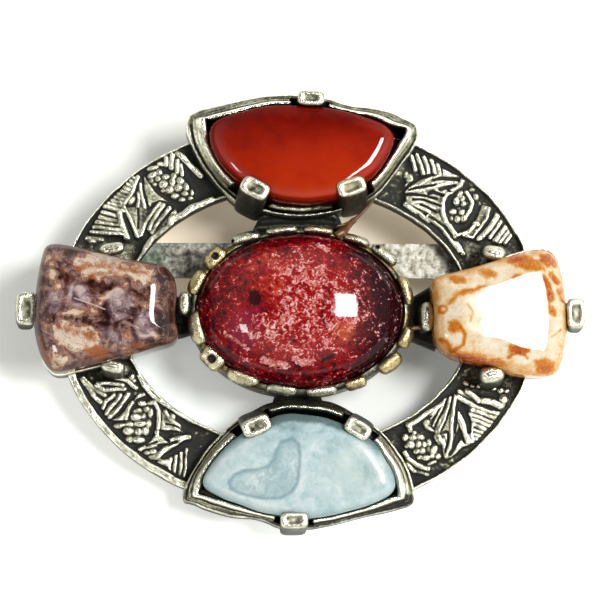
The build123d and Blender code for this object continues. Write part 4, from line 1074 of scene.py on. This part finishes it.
def mark_values(xy, marks, height=None):
    """Distance into the marks of each kind, above 0 inside them. Without a height they lie on the dome."""
    values = {}
    for kind, (drawing, *rows) in marks.items():
        far = []
        for wide, *places in rows:
            path = seen_dome(drawing, places) if height is None else seen(drawing, places, height)
            far.append(wide / 2 - path_distance(xy, path) if wide else edge_distance(xy, path))
        values[kind] = np.clip(np.max(far, 0), -4, 4)
    return values


def rounding(t):
    """Fall of a quarter ellipse from 0 to 1."""
    return 1 - np.sqrt(np.clip(1 - np.clip(t, 0, 1) ** 2, 0, 1))


def shoulder_round(u, wide, drop):
    """Fall of an elliptic shoulder at a distance u outside the flat top."""
    return drop * rounding(u / wide)


def shoulder_knee(u, wide, drop):
    """Fall of a shoulder that bends quickly, slopes evenly and rounds off at the edge."""
    slope, knee, end = 0.62, 1.1, 0.9

    def fall(far):
        return slope * (np.sqrt(far**2 + knee**2) - knee)

    u = np.clip(u, 0, wide)
    return fall(u) + (drop - fall(wide)) * rounding((u - wide + end) / end)


def stone(name, outline, hub, base, top_at, shoulder, drop, fall_of, marks, material, mark_height):
    """A flat-topped stone whose shoulder changes in width. top_at gives its height over a place."""
    reach = outline - hub
    steps = np.linspace(0, 1, STONE_ROWS)
    shares = np.maximum(1 - (0.42 * steps + 0.58 * steps**2), 0.012)[:, None]
    xy = hub + reach * shares[..., None]
    inset = np.maximum(edge_distance(xy, outline[::4]), 0)
    inset[0] = 0
    along = (1 - shares) * length(reach)
    inset = np.minimum(0.8 * inset + 0.2 * along, along)
    height = top_at(xy) - fall_of(np.clip(shoulder - inset, 0, None), shoulder, drop)
    levels = [lifted(outline, base + (height[0] - base) * share) for share in (0, 0.35, 0.7)]
    points = np.vstack([levels, lifted(xy, height)])
    rim = np.vstack([np.zeros((3, len(outline))), inset])
    share = (points[..., :2] - outline.min(0)) / np.ptp(outline, 0)
    values = mark_values(points[..., :2], marks, mark_height)
    form = Form()
    form.tube(points, rim=rim, across=share[..., 0], up=share[..., 1], **values)
    form.piece(name + "_stone_polished", material, name + "_stone")


def lune_stone(name, marks, material):
    """Crescent stone with round shoulders."""
    lune = LUNES[name]
    outline = soften(curve(seen_parts(lune.stone, LUNE_LINE_HEIGHT), LUNE_POINTS, closed=True), 0.25)

    def top_at(xy):
        away = xy - lune.hub
        return LUNE_TOP - 2 * SKIN - away @ lune.lean - 0.0012 * (away**2).sum(-1)

    shoulder = 2.15 - 0.065 * (outline[:, 0] - lune.hub[0])
    stone(name, outline, lune.hub, LUNE_BASE, top_at, shoulder, 1.35, shoulder_round, marks, material,
          LUNE_TOP)


def side_stone(row, marks, material):
    """Trapezium stone with wide shoulders. The right one falls toward its outer end."""
    outline = side_line(row, -2 * SKIN)
    outward = (outline[:, 0] - row.middle) * row.side / (row.length / 2)
    shoulder = 2.6 + 0.25 * smooth(-0.6, -1.0, outward) - 0.45 * smooth(0.75, 1.0, outward)
    pitch = math.tan(math.radians(row.slope))
    bend = 0.0048 if row.slope else 0.0015

    def top_at(xy):
        out = (xy[..., 0] - row.middle) * row.side
        return SIDE_TOP - 3 * SKIN - out * pitch - bend * out**2 - 0.0015 * xy[..., 1] ** 2

    hub = (row.middle + row.side * 0.9, 0.0)
    stone(row.name, outline, hub, SIDE_BASE, top_at, shoulder, 1.9, shoulder_knee, marks, material,
          SIDE_TOP)


def seen_dome(drawing, places):
    """Flat millimetres of places read on the cabochon."""
    spots = seen(drawing, places, DOME_START_HEIGHT)
    for _ in range(6):
        share = (((spots - CENTRE) / CENTRE_HALF) ** 2).sum(-1)
        height = CENTRE_GIRDLE + CENTRE_DOME * np.sqrt(np.clip(1 - share, 0, 1))
        spots = seen(drawing, places, height)
    return spots


def centre_stone(marks, material):
    """Oval cabochon."""
    shares = np.maximum(np.cos(np.linspace(0, 1, DOME_ROWS) * math.pi / 2), 0.006)[:, None]
    xy = CENTRE + (CENTRE_HALF - SKIN) * shares[..., None] * heading(full_turn(DOME_POINTS))
    top = lifted(xy, CENTRE_GIRDLE + (CENTRE_DOME - SKIN) * np.sqrt(1 - shares**2))
    points = np.vstack([[lifted(xy[0], CENTRE_BASE)], top])
    right = (points[..., 0] - CENTRE[0]) / CENTRE_HALF[0]
    form = Form()
    form.tube(points, rim=np.vstack([[1.0], shares]), right=right, **mark_values(points[..., :2], marks))
    form.piece("centre_stone_polished", material, "centre_stone")


# Looks

def ink(red, green, blue):
    """A seen colour (0 to 255) as the surface colour that gives it in this light."""
    values = (c / 255 / 12.92 if c <= 10 else ((c / 255 + 0.055) / 1.055) ** 2.4 for c in (red, green, blue))
    return tuple(min(v / 1.28, 0.95) for v in values)


class Value:
    """A number or colour that changes over a look."""

    def __init__(self, look, socket):
        self.look, self.socket = look, socket

    def __add__(self, other):
        return self.look.calculate("ADD", self, other)

    def __sub__(self, other):
        return self.look.calculate("SUBTRACT", self, other)

    def __rsub__(self, other):
        return self.look.calculate("SUBTRACT", other, self)

    def __mul__(self, other):
        return self.look.calculate("MULTIPLY", self, other)

    def __abs__(self):
        return self.look.calculate("ABSOLUTE", self)

    __radd__, __rmul__ = __add__, __mul__

    def clamped(self):
        """The same, kept from 0 to 1."""
        self.socket.node.use_clamp = True
        return self


class Look:
    """Nodes of a material or of the surroundings."""

    def __init__(self, owner):
        owner.use_nodes = True
        self.owner, self.tree = owner, owner.node_tree

    def put(self, socket, value):
        """Links a value to a socket, or sets a plain number or colour on it."""
        if isinstance(value, Value):
            self.tree.links.new(value.socket, socket)
        else:
            socket.default_value = (*value, 1) if socket.type == "RGBA" else value

    def make(self, kind, inputs, output=0, **settings):
        """A new node with its inputs by name or place. Gives one of its outputs."""
        made = self.tree.nodes.new("ShaderNode" + kind)
        for name, value in settings.items():
            setattr(made, name, value)
        for name, value in inputs.items():
            self.put(made.inputs[name], value)
        return Value(self, made.outputs[output])

    def calculate(self, kind, *terms):
        """One calculation on values or numbers."""
        return self.make("Math", dict(enumerate(terms)), operation=kind)

    def place(self, shift=(0, 0, 0), stretch=(1, 1, 1)):
        """The piece's own coordinates in millimetres."""
        where = self.make("TexCoord", {}, "Object")
        scale = [share / MM for share in stretch]
        return self.make("Mapping", {"Vector": where, "Scale": scale, "Location": shift})

    def axis(self, place, name):
        """One coordinate of a place."""
        return self.make("SeparateXYZ", {0: place}, name)

    def noise(self, scale, detail, roughness, distortion=0.0, shift=(0, 0, 0), stretch=(1, 1, 1)):
        """Noise from 0 to 1. A shift takes another part of the pattern."""
        return self.make("TexNoise", {"Vector": self.place(shift, stretch), "Scale": scale, "Detail": detail,
                                      "Roughness": roughness, "Distortion": distortion}, "Fac")

    def value(self, name):
        """A per-vertex value."""
        return self.make("Attribute", {}, "Fac", attribute_name=name)

    def ramp(self, source, *stops):
        """Numbers or colours at places from 0 to 1."""
        made = self.make("ValToRGB", {0: source})
        elements = made.socket.node.color_ramp.elements
        while len(elements) < len(stops):
            elements.new(0.5)
        for element, (place, *colour) in zip(elements, stops):
            element.position = place
            element.color = (*(colour if len(colour) == 3 else colour * 3), 1)
        return made

    def inks(self, source, *stops):
        """Seen colours (0 to 255) at places from 0 to 1."""
        return self.ramp(source, *((place, *ink(*colour)) for place, *colour in stops))

    def mix(self, share, first, second):
        """The first colour where the share is 0, the second where it is 1."""
        return self.make("Mix", {0: share, 6: first, 7: second}, 2, data_type="RGBA")

    def vein(self, wave, at, wide, share):
        """Thin lines where a noise passes a value."""
        return self.ramp(abs(wave - at), (0, share), (wide, 0))

    def marked(self, name, edge, ragged, scale, seed=0):
        """1 inside the named marks, 0 outside, with a soft ragged edge."""
        wave = self.noise(scale, 4, 0.6, shift=(seed, seed * 0.7, 0))
        return ((self.value(name) + (wave - 0.5) * ragged) * (1 / edge) + 0.5).clamped()

    def layer(self, colour, name, over, share, *marks):
        """Lays a colour over another where the named marks are."""
        return self.mix(self.marked(name, *marks) * share, colour, over)

    def bump(self, height, distance, strength):
        """Fine relief of the surface. Distance is in metres."""
        return self.make("Bump", {"Height": height, "Distance": distance, "Strength": strength}, "Normal")

    def surface(self, inputs):
        """Sets the main shader's inputs. Gives the material."""
        shader = self.tree.nodes["Principled BSDF"]
        for name, value in inputs.items():
            self.put(shader.inputs[name], value)
        return self.owner

    def polished(self, colour, roughness, gloss=None):
        """Glossy, very slightly uneven face, by default less bright by its edge. Gives the material."""
        gloss = gloss or self.ramp(self.value("rim"), (0, 0.12), (0.5, 0.2), (1, 0.5))
        smear = self.ramp(self.noise(0.55, 2, 0.5), (0.3, roughness * 0.8), (0.75, roughness * 1.6))
        uneven = self.bump(self.noise(0.8, 2, 0.5), 0.000012, 1.0)
        return self.surface({"Base Color": colour, "IOR": 1.55, "Specular IOR Level": gloss,
                             "Roughness": smear, "Normal": uneven})


def new_look(name):
    """A new material's look."""
    return Look(bpy.data.materials.new(name))


def cast_metal(name, grit=1.0):
    """Antiqued silver: black where wear is 0, grey between, bright and smooth where it is 1."""
    # On the ring the wear values also carry painted shade near the settings and toward the outer edge.
    look = new_look(name)
    grain, fine = look.noise(3.5, 4, 0.62), look.noise(13, 3, 0.6)
    drawn = look.noise(6, 3, 0.6, stretch=(0.35, 1.9, 1))
    level = (look.value("wear") + (grain - 0.5) * (0.9 * grit) + (fine - 0.5) * (0.45 * grit)).clamped()
    silver = look.ramp(level, (0, 0.006, 0.0058, 0.0045), (0.25, 0.022, 0.021, 0.015),
                       (0.42, 0.125, 0.121, 0.084), (0.6, 0.36, 0.352, 0.26), (0.78, 0.68, 0.67, 0.53),
                       (1, 0.94, 0.93, 0.78))
    yellow = look.ramp(level, (0, 0.012, 0.008, 0.003), (0.4, 0.11, 0.075, 0.026), (0.7, 0.44, 0.34, 0.15),
                       (1, 0.92, 0.80, 0.50))
    brassy = look.ramp(look.value("brass") + grain * 0.8 - 0.45, (0.32, 0), (0.62, 1))
    shine = look.ramp(level, (0, 0.62), (0.4, 0.45), (0.7, 0.32), (1, 0.2))
    return look.surface({
        "Base Color": look.mix(brassy, silver, yellow),
        "Metallic": look.ramp(level, (0, 0.25), (0.35, 0.8), (0.6, 1)),
        "Roughness": (shine + (drawn - 0.5) * 0.3).clamped(),
        "Normal": look.bump(fine * 0.5 + grain * 0.8 + drawn * 0.5, 0.00006, 0.9),
    })


def top_material():
    """Carnelian: orange-red, darker by the upper edge."""
    look = new_look("carnelian")
    cloud, fine = look.noise(0.16, 3, 0.55), look.noise(0.8, 3, 0.6, shift=(7, 3, 0))
    up, rim = look.value("up"), look.value("rim")
    tone = 0.47 + cloud * 0.5 + fine * 0.12 - up * 0.5 + look.value("across") * 0.1
    colour = look.inks(tone, (0.28, 80, 6, 3), (0.4, 120, 16, 6), (0.52, 146, 26, 8), (0.66, 172, 38, 8),
                       (0.82, 186, 50, 8))
    edge = look.ramp(rim, (0, 0.8), (0.36, 0.6), (0.44, 0.2), (0.5, 0.16), (0.66, 0))
    colour = look.mix(edge, colour, look.inks(rim, (0, 84, 8, 6), (0.36, 116, 14, 8), (0.5, 176, 62, 52)))
    gloss = look.ramp(rim, (0, 0.03), (0.4, 0.08), (0.7, 0.5)) * look.ramp(up, (0.6, 1), (0.82, 0.12))
    return look.polished(colour, 0.05, gloss)


def bottom_material():
    """Pale blue-grey agate with a boot-shaped band and a painted highlight along its right shoulder."""
    look = new_look("blue_agate")
    cloud, fine = look.noise(0.22, 5, 0.6, 0.6), look.noise(1.4, 4, 0.6, 0.8)
    rim = look.value("rim")
    high = look.ramp(look.value("up"), (0.55, 0), (0.85, 0.5)) * look.ramp(rim, (0.6, 1), (1, 0.3))
    tone = cloud * 1.1 + fine * 0.5 - 0.16 - high * 1.1 - look.value("across") * 0.14
    colour = look.inks(tone, (0.06, 98, 122, 122), (0.2, 130, 156, 158), (0.34, 158, 186, 190),
                       (0.46, 182, 206, 210), (0.56, 198, 217, 219), (0.74, 226, 238, 238))
    boot = look.marked("boot", 0.5, 0.3, 0.9) * look.ramp(fine, (0.4, 0), (0.56, 0.65))
    colour = look.mix(boot, colour, ink(142, 172, 178))
    colour = look.layer(colour, "band", ink(122, 153, 162), 0.85, 0.3, 0.3, 1.2)
    # Painted highlight of the key lamp along the right shoulder
    colour = look.layer(colour, "white", ink(236, 244, 240), 0.6, 0.9, 0.4, 0.8, 5)
    colour = look.layer(colour, "green", ink(204, 218, 208), 0.4, 3.0, 2.2, 0.4, 2)
    colour = look.mix(look.ramp(rim, (0, 0.8), (0.3, 0.35), (0.75, 0)), colour, ink(112, 136, 138))
    return look.polished(colour, 0.27)


def left_material():
    """Brown jasper: purple-brown with mauve cells, cream and orange."""
    look = new_look("brown_jasper")
    large = look.noise(0.34, 3, 0.55, 1.0, (2, 1, 0))
    swirl = look.noise(0.62, 4, 0.52, 1.5, (13, 5, 0))
    fine = look.noise(3, 4, 0.65, 1.0, (5, 9, 0))
    mauve = look.marked("mauve", 0.35, 0.7, 1.1, 3)
    tone = large + swirl + fine * 0.3 - 0.85 + look.marked("cream", 0.7, 1.3, 1.1, 2) * 0.42
    tone = tone + mauve * 0.14 - look.marked("dark", 0.5, 0.8, 1.4, 7) * 0.26
    colour = look.inks(tone, (0.02, 34, 16, 16), (0.15, 66, 34, 30), (0.26, 100, 62, 54),
                       (0.36, 132, 98, 92), (0.43, 156, 128, 122), (0.48, 136, 76, 42), (0.53, 178, 124, 84),
                       (0.60, 212, 184, 158), (0.78, 226, 206, 186))
    mauve_tone = look.inks(tone, (0.25, 96, 70, 74), (0.4, 140, 116, 122), (0.56, 190, 170, 174))
    colour = look.mix(mauve * 0.8, colour, mauve_tone)
    colour = look.mix(look.vein(swirl, 0.5, 0.022, 0.7), colour, ink(58, 34, 32))
    colour = look.mix(look.vein(swirl, 0.58, 0.012, 0.45), colour, ink(206, 184, 168))
    colour = look.layer(colour, "orange", ink(160, 84, 22), 0.8, 0.5, 1.6, 1.9, 4)
    colour = look.mix(look.ramp(fine, (0.62, 0), (0.72, 0.35)), colour, ink(232, 212, 194))
    colour = look.mix(look.ramp(fine, (0.3, 0.45), (0.38, 0)), colour, ink(52, 28, 26))
    colour = look.layer(colour, "crack", ink(226, 206, 198), 0.7, 0.06, 0.06, 1.6, 9)
    edge = look.ramp(look.value("rim"), (0, 0.75), (0.35, 0.4), (0.9, 0.12), (1, 0))
    return look.polished(look.mix(edge, colour, ink(84, 52, 42)), 0.04)


def right_material():
    """Cream stone with orange and red patches."""
    look = new_look("cream_jasper")
    cloud = look.noise(0.5, 4, 0.6, 0.8, (1, 2, 0))
    fine = look.noise(2.2, 5, 0.66, 1.4, (4, 8, 0))
    orange, red = look.marked("orange", 0.42, 1.0, 1.3), look.marked("red", 0.42, 0.9, 1.5, 3)
    edge = look.ramp(look.value("rim"), (0, 1), (0.3, 0.75), (0.8, 0.3), (1, 0))
    tone = cloud * 0.5 + fine * 0.4 - 0.34 + orange * 0.36 + red * 0.5
    tone = tone + look.marked("line", 0.24, 0.2, 2.0, 6) * 0.34 + edge * 0.23
    colour = look.inks(tone, (0.02, 242, 231, 210), (0.14, 231, 211, 178), (0.24, 224, 182, 128),
                       (0.34, 212, 144, 62), (0.44, 202, 120, 20), (0.56, 190, 98, 20), (0.68, 172, 70, 24),
                       (0.85, 134, 44, 20))
    scribble = look.ramp(look.noise(2.2, 4, 0.65, 1.5, (9, 4, 0)), (0.54, 0), (0.6, 0.55))
    colour = look.mix(scribble * look.calculate("MAXIMUM", orange, red), colour, ink(228, 176, 110))
    specks = look.ramp(look.noise(4.5, 2, 0.5, shift=(6, 6, 0)), (0.71, 0), (0.76, 0.6))
    return look.polished(look.mix(specks, colour, ink(120, 84, 56)), 0.10)


def centre_material():
    """Crimson stone with pink-white speckles, darker toward its right end, with a painted dark reflection of
    the lobes round its rim and a painted violet tint where the left lamp's reflection lies.
    """
    look = new_look("crimson_stone")
    cloud = look.noise(0.34, 4, 0.6, 0.7, (1, 1, 0))
    patch = look.noise(1.0, 5, 0.65, 1.6, (3, 6, 0))
    fleck = look.noise(2.3, 4, 0.64, 1.3, (11, 2, 0))
    rim = look.value("rim")
    pale, glow = look.marked("pale", 0.3, 0.5, 2.2, 1), look.marked("glow", 1.2, 1.4, 0.8, 2)
    middle, painted_reflection_tint = look.marked("middle", 2.0, 3.0, 0.6, 5), look.marked("painted_reflection_tint", 1.0, 1.0, 0.8, 8)
    # Painted dark reflection of the lobes round the dome's rim
    painted_dark_rim = look.ramp(rim, (0.55, 0), (0.85, 0.06), (1, 0.2))
    end = look.ramp(look.value("right") * 0.5 + 0.5, (0.7, 0), (0.93, 0.3))
    tone = cloud * 0.5 + patch * 0.9 + fleck * 0.9 - 0.87 + middle * 0.13 + glow * 0.05 - painted_dark_rim - end
    colour = look.inks(tone, (0, 30, 5, 12), (0.14, 88, 6, 16), (0.27, 140, 8, 18), (0.4, 166, 24, 24),
                       (0.55, 188, 60, 46))
    pink_by = cloud * 0.8 + patch * 2.4 + fleck * 2.4 - 2.86 + middle * 0.42 + pale * 1.2 + painted_reflection_tint * 0.16
    pink = look.inks(fleck, (0.42, 188, 84, 80), (0.54, 214, 134, 128), (0.64, 240, 206, 206))
    colour = look.mix(glow * look.ramp(patch, (0.46, 0), (0.56, 0.7)), colour, ink(196, 62, 34))
    # Painted reflection: violet tint where the left lamp's reflection lies
    colour = look.mix(painted_reflection_tint * 0.45, colour, ink(150, 26, 62))
    colour = look.mix(end * 1.9, colour, ink(48, 7, 15))
    colour = look.mix(look.ramp(pink_by, (0.36, 0), (0.48, 0.6), (0.6, 0.95)), colour, pink)
    colour = look.layer(colour, "orange", ink(206, 104, 60), 0.4, 0.8, 1.4, 1.6, 2)
    colour = look.layer(colour, "dark", ink(34, 4, 10), 0.92, 0.22, 0.4, 1.8, 3)
    spots = look.ramp(look.noise(1.1, 3, 0.6, 0.6, (8, 3, 0)), (0.28, 0.7), (0.34, 0))
    gloss = look.ramp(rim, (0, 0.5), (0.6, 0.4), (0.76, 0.12), (1, 0.03))
    return look.polished(look.mix(spots, colour, ink(60, 6, 14)), 0.045, gloss)


def bar_material():
    """Mottled grey-white strip, green at its left end and sandy at its right one."""
    look = new_look("bar_metal")
    mottle = look.noise(1.5, 5, 0.65)
    along = look.axis(look.place(), "X") * (1 / 40) + 0.5
    grey = look.ramp(mottle, (0.3, 0.02, 0.019, 0.014), (0.42, 0.10, 0.096, 0.075), (0.54, 0.3, 0.29, 0.24),
                     (0.68, 0.62, 0.61, 0.53))
    pale = look.ramp(mottle, (0.36, 0.3, 0.25, 0.17), (0.5, 0.72, 0.68, 0.56), (0.64, 0.9, 0.88, 0.8))
    sandy = look.ramp(along, (0.68, 0), (0.74, 0.6), (0.84, 0.6), (0.88, 0))
    green = look.ramp(along, (0.04, 0), (0.07, 0.75), (0.12, 0.65), (0.18, 0))
    green = green * look.ramp(look.noise(0.9, 3, 0.6), (0.4, 0), (0.55, 1))
    return look.surface({"Base Color": look.mix(green, look.mix(sandy, grey, pale), (0.10, 0.22, 0.13)),
                         "Metallic": 0.55, "Roughness": 0.5, "Normal": look.bump(mottle, 0.0001, 0.7)})


# Glue strands: widths in millimetres, then x, y and height of places in the middle drawing
Strand = namedtuple("Strand", "widths places")
STRANDS = (
    Strand((0.25, 0.3, 0.4, 0.65, 1.0, 0.7), ((1225, 5, 2.6), (1165, 70, 2.6), (1115, 118, 2.9),
                                              (1072, 160, 3.5), (1040, 196, 4.2), (1000, 215, 4.5))),
    Strand((0.25, 0.3, 0.5, 0.6), ((1005, 158, 3.7), (1045, 150, 3.5), (1085, 140, 3.3), (1110, 122, 3.0))),
    Strand((0.6, 0.4, 0.3), ((1405, 800, 4.3), (1475, 772, 4.0), (1575, 762, 3.8))),
)


def glue_strands():
    """Thin strands of dried glue beside the top setting and the right one."""
    look = new_look("dried_glue")
    colour = look.inks(look.noise(1.2, 3, 0.6), (0.3, 74, 42, 18), (0.7, 134, 88, 46))
    material = look.surface({"Base Color": colour, "Roughness": 0.35})
    form = Form()
    for widths, places in STRANDS:
        places = np.array(places)
        path = lifted(seen(MIDDLE, places[:, :2], places[:, 2]), places[:, 2])
        walked = walk(np.linalg.norm(np.diff(path, axis=0), axis=1))
        steps = np.linspace(0, walked[-1], STRAND_STEPS)
        line = rows_at(steps, walked, path)
        for _ in range(6):
            line[1:-1] = (line[:-2] + line[1:-1] * 2 + line[2:]) / 4
        run = unit(np.gradient(line, axis=0))
        side = unit(np.cross(run, [0, 0, 1]))
        up = np.cross(side, run)
        across, rise = heading(full_turn(STRAND_POINTS)).T[..., None]
        half = np.interp(steps, walked, widths)[:, None, None] / 2
        form.tube(line[:, None] + half * (across * side[:, None] + rise * up[:, None]))
    form.piece("glue_strands", material, node=None)


# Surroundings

def floor(lowest):
    """White surface, lit and glowing by itself as painted light until it is plain white away from the
    brooch.
    """
    size = 0.9
    mesh = bpy.data.meshes.new("table")
    corners = [(x * size, y * size, lowest - 0.00002) for x, y in ((-1, -1), (1, -1), (1, 1), (-1, 1))]
    mesh.from_pydata(corners, [], [(0, 1, 2, 3)])
    look = new_look("white_floor_painted_glow")
    wide, high = RING
    place = look.place((-ORIGIN[0] / MM / wide, -ORIGIN[1] / MM / high, 0), (1 / wide, 1 / high, 0))
    x, y = look.axis(place, "X"), look.axis(place, "Y")
    outside = look.make("VectorMath", {0: place}, "Value", operation="LENGTH") * 0.5
    # Painted glow of the floor itself: low inside the ring and plain white further out, rising later on the
    # left than on the right
    near = look.ramp(outside, (0.2, 0.03), (0.36, 0.08), (0.46, 0.18), (0.58, 0.09), (0.7, 0.12),
                     (0.86, 0.9))
    far = look.ramp(outside, (0.2, 0.05), (0.36, 0.11), (0.46, 0.4), (0.54, 0.8), (0.9, 0.9))
    left = (x * -1.4 + 0.5).clamped()
    up = y * 0.5 + 0.5
    # Painted light, brighter toward the left and most at the lower left
    lit = look.ramp(y * -0.43 * left + x * -0.29 + 0.5, (0.35, 0), (0.75, 0.3))
    # Shade outside the ring at the left, down to the left stone's foot
    shade = look.ramp(up, (0.36, 0), (0.41, 0.75)) * look.ramp(outside, (0.46, 0), (0.53, 1)) * left
    # Brownish light behind the upper openings of the ring
    warm = look.ramp(up, (0.5, 0), (0.62, 1)) * look.ramp(outside, (0.40, 1), (0.48, 0))
    mesh.materials.append(look.surface({
        "Base Color": look.mix(warm, (0.885, 0.905, 0.87), (0.95, 0.83, 0.67)),
        "Roughness": 0.8,
        "Specular IOR Level": 0.0,
        "Emission Color": look.mix(warm, (0.98, 1, 0.965), (1.2, 1.0, 0.72)),
        "Emission Strength": near * left + far * (1 - left) + lit * (1 - shade),
    }))
    added("table", mesh)


def world_light():
    """Grey surroundings, darker straight above."""
    world = bpy.data.worlds.new("room")
    bpy.context.scene.world = world
    look = Look(world)
    height = look.axis(look.make("TexCoord", {}, "Generated"), "Z")
    look.put(look.tree.nodes["Background"].inputs["Color"], look.ramp(
        height, (0, 0.45, 0.44, 0.415), (0.18, 0.8, 0.785, 0.74), (0.4, 1.05, 1.025, 0.965),
        (0.64, 0.6, 0.585, 0.555), (0.86, 0.22, 0.215, 0.205), (0.96, 0.07, 0.07, 0.067),
        (1, 0.05, 0.05, 0.048)))


def placed(name, data, axes, where):
    """A camera or light with its axes given in the flat brooch."""
    made = added(name, data)
    matrix = Matrix((TURN @ np.transpose(axes)).tolist()).to_4x4()
    matrix.translation = Vector(where)
    made.matrix_world = matrix
    return made


def area_light(name, direction, distance, width, height, radiance):
    """A soft box that faces the brooch from a flat direction."""
    data = bpy.data.lights.new(name, "AREA")
    data.shape = "RECTANGLE"
    data.size, data.size_y = width, height
    data.energy = radiance * math.pi * width * height
    back = unit(np.array(direction))
    across = unit(np.cross([0, 1, 0], back))
    placed(name, data, (across, np.cross(back, across), back), back @ TURN.T * distance + ORIGIN)


def camera():
    """The photograph's view."""
    data = bpy.data.cameras.new("view")
    data.sensor_width = SENSOR
    data.lens = SENSOR * FOCAL_PIXELS / PICTURE
    data.clip_start, data.clip_end = 0.01, 10
    data.dof.use_dof = False
    bpy.context.scene.camera = placed("view", data, (RIGHT, UP, -FORWARD), lay(EYE))


def build():
    """Makes every piece."""
    metal, worn_metal = cast_metal("antiqued_silver"), cast_metal("worn_silver", 0.45)
    for quarter in QUARTERS:
        ring_panel(quarter, metal)
    for number, name in enumerate(LUNES):
        lune_setting(name, metal, 110 + 40 * number)
        claws(name, worn_metal, 210 + 40 * number)
    for number, row in enumerate(SIDES):
        side_tray(row, metal, 410 + 40 * number)
        claws(row.name, worn_metal, 610 + 40 * number)
    bezel_wall(metal)
    bezel_lobes(worn_metal)
    necks(metal)
    lune_stone("top", {}, top_material())
    lune_stone("bottom", BOTTOM_MARKS, bottom_material())
    side_stone(SIDES[0], LEFT_MARKS, left_material())
    side_stone(SIDES[1], RIGHT_MARKS, right_material())
    centre_stone(CENTRE_MARKS, centre_material())
    glue_strands()
    bar = bar_material()
    for node in ("pin_bar", "pin_stem"):
        for slot in frame["nodes"][node].material_slots:
            slot.material = bar


build()
floor(cad_box[0].z)
world_light()
area_light("key", (0.511, 0.13, 0.848), 0.5, 0.146, 0.213, 25.0)
area_light("left", (-0.6, -0.32, 0.72), 0.5, 0.052, 0.087, 15.0)
camera()
bpy.context.scene.view_settings.view_transform = "Standard"
bpy.context.scene.view_settings.look = "None"
